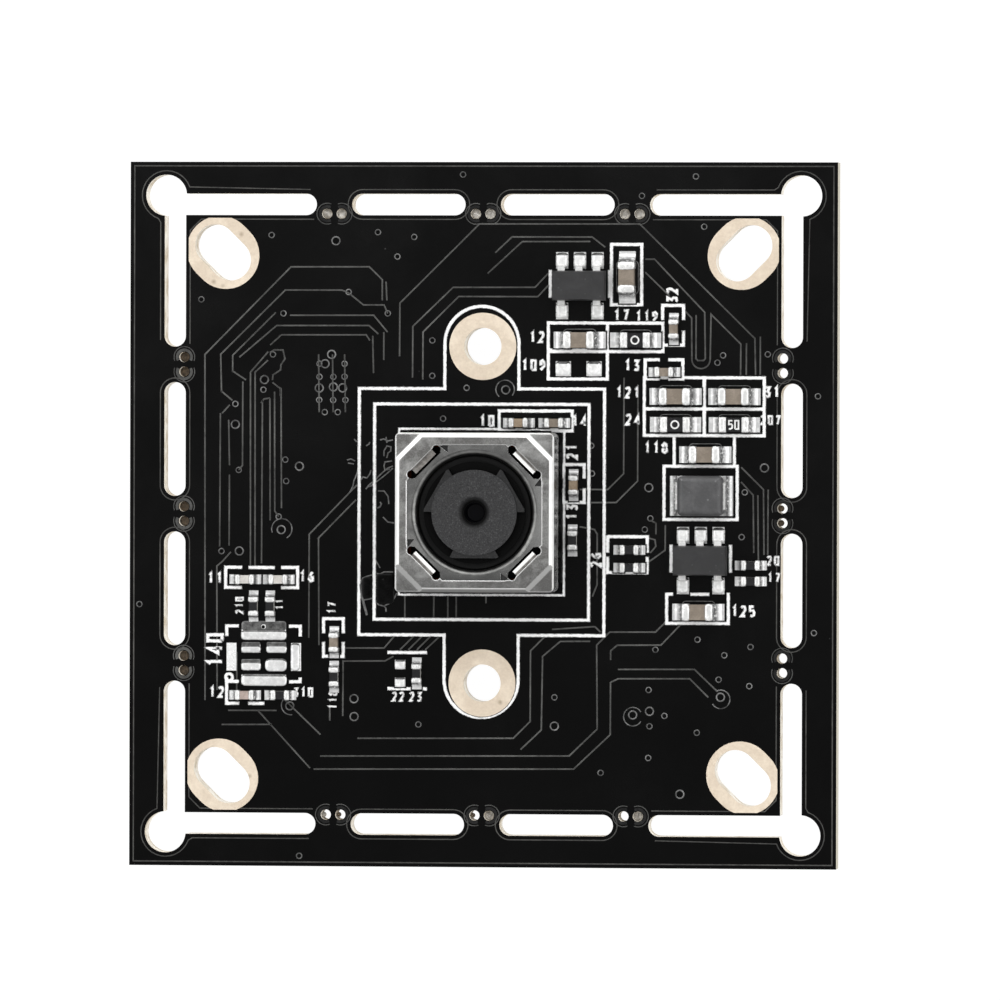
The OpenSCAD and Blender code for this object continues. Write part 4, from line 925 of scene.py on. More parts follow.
SPRING_T = 0.04
RING_IN, RING_OUT = 3.13, 3.31          # inner ring, on the carrier
FRAME_HALF, FRAME_DIAG = 3.8, 4.38      # opening of the outer frame: flat and slanted sides
CHAMFER = 1.36                          # slanted over flat half-width of the frame's outside
ARM = 3.60                              # an arm's distance from the axis
ARM_W = 0.1
REACH = 1.35                            # half an arm's length


def flat_band(bm, z, outer, inner, steps=64):
    """A flat ring of spring sheet round the lens axis; outer and inner give the distance at an angle."""
    loops = []
    for distance, lift in ((outer, 0), (outer, SPRING_T), (inner, SPRING_T), (inner, 0)):
        loop = []
        for k in range(steps):
            angle = 2 * math.pi * k / steps
            r = distance(angle) * MM
            loop.append(bm.verts.new((AXIS_X + r * math.cos(angle), AXIS_Y + r * math.sin(angle),
                                      z + lift * MM)))
        loops.append(loop)
    for k in range(4):
        a_loop, b_loop = loops[k], loops[(k + 1) % 4]
        for q in range(steps):
            bm.faces.new((a_loop[q], a_loop[(q + 1) % steps], b_loop[(q + 1) % steps], b_loop[q]))


def squarish(half, diag):
    """Distance to a square with its corners cut at that slanted half-width."""
    def distance(angle):
        c, s = abs(math.cos(angle)), abs(math.sin(angle))
        return min(half / max(c, s), diag * math.sqrt(2) / (c + s))
    return distance


def round_axis(points, quarter):
    """Points in millimetres from the lens axis, turned and moved to their place on the board."""
    return [(AXIS_X / MM + x, AXIS_Y / MM + y) for x, y in spin(points, quarter)]


def leaf_spring(node, label):
    """The ring rides on the lens, the frame on the board, and four arms run between them."""
    a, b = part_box(node)
    z = a[2]
    outside = (b[0] - a[0]) / 2 / MM
    bm = bmesh.new()
    flat_band(bm, z, lambda angle: RING_OUT, lambda angle: RING_IN)
    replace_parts(piece(label + "_ring", bm, ["spring_metal"], "lens"), node)
    bm = bmesh.new()
    flat_band(bm, z, squarish(outside, outside * CHAMFER), squarish(FRAME_HALF, FRAME_DIAG))
    piece(label + "_frame", bm, ["spring_metal"])
    for quarter in range(4):
        along = [(ARM, -REACH + 2 * REACH * q / 12) for q in range(13)]
        path = [(RING_OUT - 0.1, -REACH)] + along + [(FRAME_HALF + 0.05, REACH)]
        bm = bmesh.new()
        ribbon(bm, round_axis(path, quarter), ARM_W, SPRING_T, z=z)
        arm = made("%s_arm_%d" % (label, quarter + 1), bm, ["spring_metal"])
        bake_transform(arm)


leaf_spring("front_leaf_spring", "front_spring")
leaf_spring("rear_leaf_spring", "rear_spring")

# ---------------------------------------------------------------- circuit tracks and vias under the mask

TRACK_W, TRACK_H = 0.085, 0.014
VIA = (0.17, 0.115, 0.012)              # outer and inner radius, height
BIG_VIA = (0.25, 0.18, 0.018)

# Centre lines of the tracks and places of the vias, in millimetres from the middle of the board.
TRACKS = [
    # Left: round the processor's block of vias and down the side.
    [(-14.92, -9.99), (-14.97, 8.53), (-10.34, 13.23), (-6.12, 13.24), (-5.42, 12.55), (-5.42, 11.45)],
    [(-5.22, 12.45), (-5.17, 11.45)],
    [(-14.07, 6.54), (-14.12, 8.54), (-10.64, 11.99), (-7.58, 11.99), (-7.23, 11.84), (-6.43, 11.2),
     (-5.32, 11.2), (-5.12, 10.75)],
    [(-13.47, 7.59), (-13.47, 8.49), (-11.15, 10.79)],
    [(-10.39, 10.64), (-5.88, 10.65), (-5.13, 9.75)],
    [(-13.11, 8.39), (-11.1, 10.09), (-6.13, 10.1), (-5.63, 9.65)],
    [(-11.45, 9.04), (-10.85, 9.59), (-6.28, 9.6), (-6.08, 9.3)],
    [(-12.49, -2.74), (-12.51, 7.59), (-11.55, 8.69)],
    [(-11.46, 8.64), (-11.24, 8.78), (-10.76, 8.78), (-10.65, 8.31), (-10.87, 7.98), (-10.89, 7.71),
     (-11.3, 7.44), (-11.32, 7.17)],
    [(-11.32, 7.04), (-10.89, 6.71), (-10.89, 6.32)],
    [(-11.94, 5.94), (-11.78, 6.15), (-11.45, 6.21)],
    [(-14.09, 6.58), (-13.48, 6.07)],
    [(-13.48, 7.65), (-12.75, 7.17)],
    [(-12.24, -2.89), (-12.26, 7.59), (-11.56, 8.24)],
    [(-12.92, 7.09), (-12.93, 2.6), (-13.13, 2.35)],
    [(-11.86, 6.1), (-11.89, -2.64)],
    [(-11.46, 6.2), (-11.43, -0.34)],
    [(-11.21, 6.55), (-11.18, 0.16), (-10.97, -0.14)],
    [(-10.86, 6.75), (-10.82, 0.31)],
    [(-14.13, 5.39), (-14.15, -1.75)],
    [(-14.03, 5.39), (-13.62, 5.84)],
    [(-13.68, 5.04), (-13.63, 2.6)],
    [(-13.63, 2.1), (-13.64, -1.7)],
    [(-13.54, -2.04), (-14, -2.55), (-14.3, -2.8), (-14.27, -9.44)],
    # Above the can, and along the top.
    [(-5.93, 9.55), (-5.88, 7.56)],
    [(-5.33, 9.75), (-5.33, 8.26)],
    [(-4.48, 8.46), (-4.47, 11.3), (-0.2, 15.54), (8.4, 15.55), (14.58, 9.45), (14.62, 7.51)],
    [(14.87, 9.55), (14.87, 7.52)],
    [(-3.78, 7.32), (-3.77, 10.06), (-1.61, 12.15), (2.8, 12.16), (3.5, 12.91)],
    [(-3.23, 7.22), (-3.22, 9.76), (-1.31, 11.66), (2.94, 11.66), (3.5, 12.26)],
    # Round the upper regulator, with the loop beside the small capacitor.
    [(0.65, 14), (1.55, 14.85), (5.85, 14.85), (6.55, 14.31)],
    [(0.25, 12.9), (2.1, 14.6), (5.75, 14.61)],
    [(8.7, 13.67), (9.2, 13.67), (11.89, 10.84), (11.93, 8.38), (11.84, 8.27), (11.52, 8.27), (11.43, 8.38),
     (11.43, 10.7)],
    [(8.7, 12.97), (9.99, 11.73)],
    [(10.78, 10.97), (11.19, 10.54)] + arc(11.7, 8.33, 0.49, 180, 360, 12) +
    [(12.23, 10.74), (13.83, 9.15), (13.82, 7.51)],
    [(14.13, 9.2), (14.12, 7.51)],
    # Right of the can.
    [(7.58, 7.35), (7.57, 2.22), (6.72, 1.37), (5.22, 1.37)],
    [(8.33, 6.95), (8.32, 1.83), (7.17, 0.68), (5.22, 0.67)],
    # Left of the can.
    [(-6.75, 1.57), (-9.32, -1.08), (-9.33, -6.62)],
    [(-6.8, 0.78), (-8.82, -1.28), (-8.78, -7.01)],
    # Beside the inductor and the lower regulator.
    [(13.86, 2.59), (15.06, 1.4), (15.1, -2.08)],
    [(15.31, 1.4), (15.3, -2.07)],
    [(13.86, 1.8), (14.51, 1.1), (14.55, -1.98)],
    [(14.76, 1.1), (14.8, -2.62)],
    [(9.01, -0.26), (9.31, -0.41), (9.31, -1.01)],
    [(8.71, -1.16), (9.26, -1.3), (9.31, -1.65), (9.01, -2)],
    [(9.81, -0.51), (9.81, -1.85), (8.91, -2.5)],
    # Across the front.
    [(-6.69, -11.99), (1.69, -11.94), (2.59, -11.04), (2.6, -7.26), (3.4, -6.46)],
    [(2.08, -12.54), (3.19, -11.49), (3.25, -7.55), (4.2, -6.75), (5.8, -6.74)],
    [(-8.7, -12.95), (4.69, -12.87), (6.19, -11.42), (6.15, -6.94), (6.85, -6.24), (9.3, -6.23),
     (9.85, -5.68)],
    [(-9.05, -13.65), (4.93, -13.57), (6.89, -11.72), (6.9, -8.93), (7.3, -8.73), (11.14, -8.71),
     (12.14, -9.7)],
    [(7.3, -8.23), (11.39, -8.21), (12.64, -9.4)],
    [(6.9, -7.73), (6.9, -7.24), (7.25, -6.94), (9.6, -6.92), (10.65, -5.82)],
    # Front left.
    [(-13.67, -10.53), (-11.05, -10.52)],
    [(-14.02, -11.29), (-11.31, -11.27)],
    [(-8.19, -10.35), (-8.19, -11.05)],
    [(-7.49, -10.8), (-7.48, -7.86), (-5.22, -7.84), (-4.77, -7.59)],
    [(-7.48, -7.16), (-5.27, -7.15), (-4.67, -6.45)],
    [(-4.42, -7.24), (-3.66, -6.49)],
    [(-3.97, -7.24), (-3.21, -6.49)],
    [(-3.51, -7.24), (-2.76, -6.49)],
    [(-3.06, -7.24), (-2.26, -6.48)],
    # Out from under the can, at its front and right.
    [(-4.16, -4.15), (-4.16, -5.5)],
    [(-2.6, -4.14), (-2.61, -5.49)],
    [(-1.85, -4.14), (-1.85, -5.49)],
    [(-1.4, -4.14), (-1.4, -5.48)],
    [(0.2, -4.13), (0.2, -4.73)],
    [(5.22, -0.62), (6.02, -0.77), (6.16, -1.02), (6.16, -3.71), (5.91, -4.35)],
    [(3.75, -6.11), (6.05, -5.95), (6.35, -6.24)],
    # Round the microphone.
    [(-12.06, -10.53), (-9.25, -13.6)],
    [(-13.21, -7.39), (-13.21, -9.98)],
    [(-10.6, -9.97), (-8.69, -11.8)],
    # Through the processor's block of vias.
    [(-8.84, 8.55), (-8.8, 5.46)],
    [(-8.09, 8.55), (-8.05, 5.46)],
    [(-7.44, 8.55), (-7.39, 5.46)],
]
VIAS = [
    (-5.12, 10.75), (-10.74, 10.74), (-11.3, 8.54), (-13.13, 2.35), (-10.97, -0.14), (-14.05, -2),
    (-13.32, 5.89), (-11.81, 6.65), (-10.62, 2.91), (-10.57, 1.76), (-15.17, 11.48), (-11.39, 14.93),
    (-5.66, 15.09), (-4.61, 13.79), (-3.71, 14.84), (-1.09, 18.18), (-2.72, 9.31), (-2.72, 7.42),
    (-0.87, 6.78), (-8.79, 8.05), (-7.44, 8.05), (-8.79, 7.35), (-8.04, 7.35), (-7.44, 7.36), (-8.8, 6.11),
    (-8.05, 6.11), (-7.39, 6.11), (-8.5, 5.46), (-7.8, 5.46), (12.69, -8.75), (-9.82, -18.3), (-3.42, -11.23),
    (3.89, -9.74), (8.94, -9.32), (8.99, -11.26), (9.79, -10.7), (11.53, -11.59), (6.38, -13.76),
    (8.93, -12.95), (14.33, -9.09), (12.99, -7.45), (14.39, -7), (13.9, -1.14), (14.06, 1.25), (17.78, -6.24),
    (-18.48, -4.86), (11.4, 18.09), (8.51, 17.05), (11.85, 15.41), (12.88, 8.55), (15.27, 8.61),
    (12.58, 8.16), (17.96, 6.38), (-2.13, 5.13), (5.83, 3.71), (5.87, 2.22), (9.01, -0.16), (8.71, -0.76),
    (-7.23, 11.89), (11.55, -6.62), (9.3, -7.17),
]
BIG_VIAS = [
    (-6.89, -9.87), (-6.88, -10.83), (-10.83, -0.84), (-11.76, 7.19), (-13.32, 4.79), (-13.09, -1.99),
    (-9.86, 2.56), (-7.92, 14.63), (1.23, 6.68), (-8.14, 8.55), (-8.49, 8.05), (-8.8, 6.75), (-8.04, 6.81),
    (-7.54, 6.76), (-10.35, -10.27), (3.89, -11.28), (8.09, -10.66), (8.99, -10.46), (10.63, -14.88),
    (8.92, 1.48), (15.11, 2.55), (12.79, -9.69),
]
# Tracks that go part of the way round a big via: its place, their radius, and the angles they run between.
VIA_ARCS = (
    (-10.8, -0.8, 0.55, -60, 200), (12.8, -9.8, 0.5, -150, 120), (1.2, 6.7, 0.5, -40, 230),
    (8.1, -10.75, 0.5, 30, 330), (-10.3, -10.25, 0.5, 60, 280),
)


def vias(bm, base, way):
    for places, sizes in ((VIAS, VIA), (BIG_VIAS, BIG_VIA)):
        for x, y in places:
            ring(bm, x, y, *sizes, base=base, way=way)


bm = bmesh.new()
for track in TRACKS:
    ribbon(bm, track, TRACK_W, TRACK_H)
piece("board_tracks", bm, ["masked_copper"])

bm = bmesh.new()
vias(bm, TOP, 1)
for x, y, r, start, end in VIA_ARCS:
    ribbon(bm, arc(x, y, r, start, end), 0.06, 0.012)
piece("board_vias", bm, ["masked_via", "hole_shade"])

# ---------------------------------------------------------------- perforations and slots

BREAK_LINE = 16.08                      # distance of the perforations from the board's middle
TAB_PLACES = (-8, 0, 8)
PAIR = 0.39                             # half the distance between the two holes on a tab
CORE_HALF = 16.0
SLOT_R = 0.575
SLOT_LINE = CORE_HALF + SLOT_R
RAIL_EDGE = SLOT_LINE + SLOT_R
SLOT_HALF = 3.05
RELIEF, RELIEF_R = 17.05, 1.1           # place and radius of the round reliefs at the corners
INSET = 0.22                            # how far the copper stays away from an edge
EDGE_W, EDGE_H = 0.06, 0.008


def perforation_rings():
    """Thin rings of copper round the outer side of each hole, brightest on the left; elsewhere the inner ring
    takes painted shade.
    """
    bm = bmesh.new()
    for quarter in range(4):
        for mid in TAB_PLACES:
            for side in (-PAIR, PAIR):
                x, y = spin([(mid + side, BREAK_LINE)], quarter)[0]
                away = 90 * quarter + (180 if side < 0 else 0)
                tone = 0 if quarter == 1 else 1
                ribbon(bm, arc(x, y, 0.385, away - 118, away + 118, 14), 0.15, 0.006, index=tone)
                ribbon(bm, arc(x, y, 0.56, away - 112, away + 112, 14), 0.05, 0.011)
    piece("perforation_rings", bm, ["masked_copper", "masked_copper_shade"])


def perforation_fills():
    """Discs sunk in the drilled holes: painted shade of their unlit walls at index 0, pale at 1."""
    pairs = [mid + side for mid in TAB_PLACES for side in (-PAIR, PAIR)]
    left = [(-BREAK_LINE, at, 0.27, 0.5, 0) for at in pairs]
    top = [(at, BREAK_LINE, 0.27, 0.3, 1) for at in pairs]
    right = [(BREAK_LINE - 0.1, side, 0.17, 0.5, 0) for side in (-PAIR, PAIR)]
    front = [(at, -BREAK_LINE, r, 0.4, index) for at, r, index in
             ((-8.52, 0.13, 1), (-7.72, 0.13, 0), (-0.51, 0.13, 0), (0.39, 0.27, 1), (8.39, 0.27, 1))]
    bm = bmesh.new()
    for x, y, r, deep, index in left + top + right + front:
        pillow(bm, *corner_box(x, y, r, r), 0.08, r, base=TOP - deep * MM, steps=3, index=index)
    piece("perforation_fills", bm, ["hole_wall_shade", "hole_fill_pale"])


def copper_edges():
    """Edge of the copper layer, a little inside every edge of the board, its slots and its corner slots."""
    bm = bmesh.new()
    x, y = HALF_X / MM - INSET, HALF_Y / MM - INSET
    ribbon(bm, [(-x, -y), (x, -y), (x, y), (-x, y)], 0.07, EDGE_H, closed=True)
    core = CORE_HALF - INSET
    rail = RAIL_EDGE + INSET
    straight = SLOT_HALF - SLOT_R
    for quarter in range(4):
        for mid in (-4, 4):
            outline = ([(mid - straight, core), (mid + straight, core)] +
                       arc(mid + straight, SLOT_LINE, SLOT_R + INSET, -90, 90)[1:-1] +
                       [(mid + straight, rail), (mid - straight, rail)] +
                       arc(mid - straight, SLOT_LINE, SLOT_R + INSET, 90, 270)[1:-1])
            ribbon(bm, spin(outline, quarter), EDGE_W, EDGE_H, closed=True)
        inner = [(9.1, core), (core - 0.6, core), (core, core - 0.6), (core, 9.1)]
        ribbon(bm, spin(inner, quarter), EDGE_W, EDGE_H)
        relief = arc(RELIEF, RELIEF, RELIEF_R + INSET, 160, -70, 20)
        ribbon(bm, spin([(9.3, rail), (15.6, rail)] + relief + [(rail, 9.3)], quarter), EDGE_W, EDGE_H)
    piece("copper_edges", bm, ["masked_edge"])


perforation_rings()

# ---------------------------------------------------------------- solder, flux, tin and glue

PASTE = TOP + 0.02 * MM                 # where the solder stands on a pad
# Pads of the unfitted microphone: low corner, high corner, and the share that the flat part behind takes, in
# painted shade.
MICROPHONE_PADS = (
    ((-12.99, -6.76), (-10.51, -5.73), 0.46), ((-12.98, -7.45), (-11.91, -6.86), 0.3),
    ((-11.63, -7.45), (-10.5, -6.85), 0.26), ((-12.98, -8.39), (-11.9, -7.77), 0.2),
    ((-11.69, -8.44), (-10.5, -7.74), 0.0), ((-10.31, -8.4), (-9.8, -6.9), 0.0),
    ((-12.98, -9.22), (-10.5, -8.57), 0.0),
)
SOUND_HOLE = (-11.76, -6.03)
# Unfitted chip pads: middle, half sizes and the dome's height.
CHIP_PADS = (
    (4.325, 7.82, 0.42, 0.41, 0.16), (5.975, 7.82, 0.42, 0.41, 0.16),
    (-4.4, -8.975, 0.29, 0.26, 0.12), (-4.4, -8.025, 0.29, 0.26, 0.12),
)
LEAD_PITCH = 0.95


def microphone_solder():
    bm = bmesh.new()
    for low_corner, high_corner, share in MICROPHONE_PADS:
        depth = high_corner[1] - low_corner[1]
        split = high_corner[1] - share * depth
        size = min(high_corner[0] - low_corner[0], split - low_corner[1])
        pillow(bm, low_corner, (high_corner[0], split), 0.1, size * 0.36, base=PASTE, shaded=True)
        if share:
            far = share * depth + 0.1
            pillow(bm, (low_corner[0] + 0.03, high_corner[1] - far), (high_corner[0] - 0.03, high_corner[1]),
                   0.05, far * 0.3, base=PASTE, index=1)
    x, y = SOUND_HOLE
    pillow(bm, *corner_box(x, y, 0.18, 0.18), 0.065, 0.16, base=PASTE, shaded=True)
    # Painted shade for the sound hole.
    pillow(bm, (x - 0.15, y - 0.15), (x + 0.13, y + 0.13), 0.075, 0.13, base=PASTE, index=2)
    piece("microphone_solder", bm, ["solder", "solder_shade", "hole_shade"])


def solder_domes():
    """Domes on the unfitted chip pads and round the regulators' feet."""
    bm = bmesh.new()
    for x, y, half_x, half_y, height in CHIP_PADS:
        pillow(bm, *corner_box(x, y, half_x, half_y), height, min(half_x, half_y) * 0.5,
               base=TOP + 0.045 * MM, shaded=True)
    for node in REGULATORS:
        mid_x, mid_y = centre(node)
        for k, side in ((-1, 1), (0, 1), (1, 1), (-1, -1), (1, -1)):
            foot = corner_box(mid_x + LEAD_PITCH * k, mid_y + side * 1.335, 0.34, 0.435)
            pillow(bm, *foot, 0.24, 0.2, base=TOP + 0.03 * MM, shaded=True)
    piece("solder_domes", bm, ["bright_solder", "solder_shade"])


def flux_outlines():
    """Thin outlines of dried flux round the larger chip parts, wider at their long sides."""
    bm = bmesh.new()
    r = 0.2
    for node in LARGE_CAPACITORS + LARGE_RESISTORS:
        a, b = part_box(node)
        axis = lengthwise(node)[1]
        gaps = (0.05, 0.13) if axis == 0 else (0.13, 0.05)
        x0, y0 = (a[k] / MM - gaps[k] for k in (0, 1))
        x1, y1 = (b[k] / MM + gaps[k] for k in (0, 1))
        outline = (arc(x1 - r, y1 - r, r, 0, 90, 4) + arc(x0 + r, y1 - r, r, 90, 180, 4) +
                   arc(x0 + r, y0 + r, r, 180, 270, 4) + arc(x1 - r, y0 + r, r, 270, 360, 4))
        ribbon(bm, outline, 0.045, 0.012, closed=True)
    piece("flux_outlines", bm, ["clear_glue"])


def chip_end_tin():
    """Tin that wraps the ends of the chip parts, thickest at its middle."""
    bm = bmesh.new()
    for names, share in ((LARGE_CAPACITORS, 0.25), (SMALL_CAPACITORS, 0.26), (LARGE_RESISTORS, 0.2),
                         (SMALL_RESISTORS, 0.27)):
        for name in names:
            a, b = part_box(name)
            axis = lengthwise(name)[1]
            reach = (b[axis] - a[axis]) * share
            for at_end in (False, True):
                low_corner, high_corner = [a[0], a[1]], [b[0], b[1]]
                if at_end:
                    low_corner[axis] = b[axis] - reach
                else:
                    high_corner[axis] = a[axis] + reach
                low_corner = [v / MM - 0.015 for v in low_corner]
                high_corner = [v / MM + 0.015 for v in high_corner]
                narrow = min(high_corner[0] - low_corner[0], high_corner[1] - low_corner[1])
                pillow(bm, low_corner, high_corner, 0.1, narrow * 0.42, base=b[2] - 0.06 * MM)
    piece("chip_end_tin", bm, ["tinned_end"])


# Threads and skins of clear glue beside the can, drawn out when it was pressed on.
GLUE_THREADS = (
    [(-6.27, 1.35), (-6.11, 1.57), (-5.84, 1.78), (-5.41, 2.21), (-5.09, 2.48), (-4.82, 2.59)],
    [(-6.21, 1.46), (-6.0, 1.52), (-5.73, 1.73), (-5.3, 2.05), (-4.98, 2.32), (-4.82, 2.48)],
    [(-7.13, 1.19), (-6.97, 1.51), (-6.92, 1.78), (-6.76, 2.16), (-6.7, 2.42)],
    [(-6.59, 1.78), (-6.43, 2.0), (-6.22, 1.94), (-6.06, 2.16), (-6.0, 2.37)],
    [(-5.3, 3.12), (-5.3, 3.39), (-5.14, 3.66), (-4.93, 3.61), (-4.93, 3.39), (-5.09, 3.28), (-5.14, 3.02)],
    [(-4.87, 2.86), (-5.25, 2.8), (-5.3, 2.59), (-5.25, 2.37), (-4.98, 2.43)],
    [(-5.62, 1.25), (-5.3, 1.25), (-5.08, 0.98), (-5.03, 0.56)],
    [(-5.67, 0.34), (-5.51, 0.39), (-5.43, 0.56), (-5.51, 0.66)],
    [(-5.35, -0.14), (-5.08, -0.41), (-4.76, -0.46)],
    [(-5.52, 3.98), (-5.31, 4.03), (-5.09, 3.93), (-4.82, 3.98)],
    [(-5.2, 4.14), (-5.14, 3.82)],
    [(-5.72, -2.5), (-5.61, -2.66), (-5.5, -2.87)],
    [(-5.77, -3.14), (-5.5, -3.19), (-5.29, -3.08), (-4.8, -3.08)],
    [(-5.93, -3.25), (-6.15, -3.3), (-6.42, -3.41), (-6.58, -3.73)],
    [(-6.41, -4.59), (-6.09, -4.53), (-5.88, -4.48)],
    [(-5.71, -4.69), (-5.55, -4.85), (-5.28, -4.9), (-4.96, -4.74), (-4.75, -4.52), (-4.59, -4.2)],
    [(-5.28, -4.9), (-5.18, -5.01), (-5.17, -5.22)],
)
STRAND = [(-6.58, -3.73), (-6.52, -4.21), (-6.41, -4.64), (-6.31, -5.01), (-6.2, -5.39)]
SMEARS = (
    [(-7.3, 2.9), (-7.08, 2.96), (-6.86, 2.85)], [(-7.24, 2.74), (-6.92, 2.69)],
    [(-6.27, 3.66), (-6.11, 3.76), (-6.06, 3.87)], [(-6.92, 4.03), (-6.76, 3.87)],
)


def clear_glue_threads():
    bm = bmesh.new()
    for thread in GLUE_THREADS:
        ribbon(bm, thread, 0.075, 0.02)
    ribbon(bm, STRAND, 0.13, 0.03)
    piece("clear_glue_threads", bm, ["clear_glue"])


def black_glue_pool():
    """Two pools and a drop at the can's front left corner."""
    bm = bmesh.new()
    pillow(bm, (-5.76, -4.8), (-4.72, -3.16), 0.06, 0.24)
    pillow(bm, (-6.5, -4.52), (-5.9, -3.34), 0.06, 0.24)
    pillow(bm, (-5.42, -3.6), (-5.2, -3.4), 0.09, 0.1)
    piece("black_glue_pool", bm, ["black_glue"], smooth=True)


def smears():
    """What wiping left on the mask."""
    bm = bmesh.new()
    for smear in SMEARS:
        ribbon(bm, smear, 0.07, 0.006)
    piece("smears", bm, ["scuff"])


microphone_solder()
solder_domes()
flux_outlines()
perforation_fills()
chip_end_tin()
clear_glue_threads()
black_glue_pool()
smears()
copper_edges()

# ---------------------------------------------------------------- legend numbers

INK_W, INK_H = 0.15, 0.028
MARK_H = 0.006                          # height of the marks on resistors
NUMBER_SIZE = 0.5

# Strokes of the digits on a grid one unit wide and two high.
DIGITS = {
    "0": [(0, 0), (1, 0), (1, 2), (0, 2), (0, 0)],
    "1": [(0.2, 1.6), (0.6, 2), (0.6, 0)],
    "2": [(0, 1.7), (0.3, 2), (0.8, 2), (1, 1.6), (0.9, 1.1), (0, 0), (1, 0)],
    "3": [(0, 2), (1, 2), (0.5, 1.1), (1, 0.8), (0.9, 0.1), (0.4, 0), (0, 0.2)],
    "4": [(0.8, 0), (0.8, 2), (0, 0.6), (1.1, 0.6)],
    "5": [(1, 2), (0, 2), (0, 1.1), (0.7, 1.2), (1, 0.8), (0.9, 0.2), (0.4, 0), (0, 0.1)],
    "6": [(0.9, 2), (0.2, 1.3), (0, 0.5), (0.4, 0), (0.9, 0.2), (0.9, 0.9), (0.1, 0.9)],
    "7": [(0, 2), (1, 2), (0.4, 0)],
    "8": [(0.5, 1.1), (0, 1.6), (0.4, 2), (0.9, 1.8), (0.9, 1.4), (0, 0.7), (0, 0.2), (0.5, 0), (1, 0.3),
          (0.9, 0.8), (0.5, 1.1)],
    "9": [(0.1, 0), (0.9, 0.8), (1, 1.6), (0.6, 2), (0.1, 1.8), (0.1, 1.2), (0.9, 1.2)],
}
# Digits, middle, angle, and height where it isn't the usual one.
NUMBERS = (
    ("12", 2.9, 9.5, 0), ("109", 2.72, 8.0, 0), ("13", 8.0, 8.0, 0), ("121", 7.78, 6.55, 0),
    ("24", 8.05, 5.1, 0), ("31", 15.5, 6.6, 0), ("207", 15.42, 5.1, 0, 0.42), ("118", 9.3, 3.6, 0),
    ("32", 10.15, 11.75, 90), ("17", 7.42, 10.68, 0), ("119", 8.78, 10.62, 0, 0.46), ("10", 0.22, 5.01, 0),
    ("14", 5.18, 5.03, 0), ("21", 4.8, 3.37, 90), ("13", 4.8, 0.15, 90), ("210", -13.07, -4.91, 90, 0.36),
    ("11", -10.91, -4.85, 90, 0.34), ("11", -14.4, -3.44, 0), ("16", -9.45, -3.35, 0),
    ("17", -8.08, -5.02, 90, 0.38), ("12", -14.3, -9.55, 0), ("310", -9.63, -9.55, 0, 0.42),
    ("118", -8.02, -9.95, 90, 0.38), ("22", -4.52, -9.75, 0, 0.42), ("23", -3.58, -9.75, 0, 0.42),
    ("20", 15.58, -2.4, 0, 0.42), ("17", 15.62, -3.3, 0, 0.42), ("125", 14.0, -5.1, 0),
    ("26", 6.1, -2.4, 90),
)


def write(bm, text, x, y, turn, size, width, height=INK_H, z=TOP, mirror=1):
    """Digits centred at x, y. Size is a digit's height in millimetres. Mirror is -1 on the board's back."""
    unit = 0.42 * size
    gap = 1.7 * width
    total = (unit + gap) * len(text) - gap
    c = math.cos(math.radians(turn))
    s = math.sin(math.radians(turn))
    for k, digit in enumerate(text):
        points = []
        for across, upward in DIGITS[digit]:
            u = (k * (unit + gap) + across * unit - total / 2) * mirror
            v = (upward - 1) * size / 2
            points.append((x + u * c - v * s, y + u * s + v * c))
        ribbon(bm, points, width, height, z)


bm = bmesh.new()
for digits, x, y, turn, *own_size in NUMBERS:
    size = own_size[0] if own_size else NUMBER_SIZE
    write(bm, digits, x, y, turn, size, 0.31 * size)
write(bm, "140", -14.39, -7.3, 90, 0.78, 0.19)
piece("legend_numbers", bm, ["white_ink"])

# ---------------------------------------------------------------- back of the board

proc_x, proc_y = centre("camera_processor")
chip_x, chip_y = centre("flash_memory")
plug_x, plug_y = centre("cable_socket")
clock_x, clock_y = centre("clock_crystal")


def back_track(bm, points):
    ribbon(bm, points, TRACK_W, TRACK_H, BOTTOM - TRACK_H * MM)


def back_line(bm, points, closed=False):
    ribbon(bm, points, INK_W, INK_H, BOTTOM - INK_H * MM, closed)


def back_tracks():
    """Tracks between the processor, the memory chip, the cable socket and the clock crystal."""
    bm = bmesh.new()
    for k in range(4):
        lead = chip_x + (k - 1.5) * 1.27
        level = chip_y + 4.3 + 0.45 * k
        back_track(bm, [(lead, chip_y + 3.1), (lead, level - 0.3), (lead - 0.3, level), (-1.6, level),
                        (-3.0, level + 1.4), (proc_x + 4.15, level + 1.4)])
        pin = plug_x + (k - 1.5) * 1.0
        bend = plug_y + 3.2 + 0.2 * k
        back_track(bm, [(pin, plug_y + 2.5), (pin, bend), (lead, bend + abs(lead - pin)),
                        (lead, chip_y - 3.1)])
        out = proc_y - 2.5 + 0.5 * k
        side = -13.9 - 0.4 * (3 - k)
        low = -13.2 - 0.16 * k
        back_track(bm, [(proc_x - 4.15, out), (side + 0.6, out), (side, out - 0.6), (side, low + 4.6),
                        (side + 4.6, low), (plug_x - 3.6, low)])
    for x in (clock_x - 0.8, clock_x + 0.8):
        back_track(bm, [(x, clock_y + 1.35), (x, proc_y - 4.15)])
    for k in range(6):
        x = proc_x - 2.5 + k
        bend = proc_y + 5.0 + 0.3 * k
        back_track(bm, [(x, proc_y + 4.15), (x, bend), (x + 1.2, bend + 1.2)])
    piece("back_tracks", bm, ["masked_copper"])


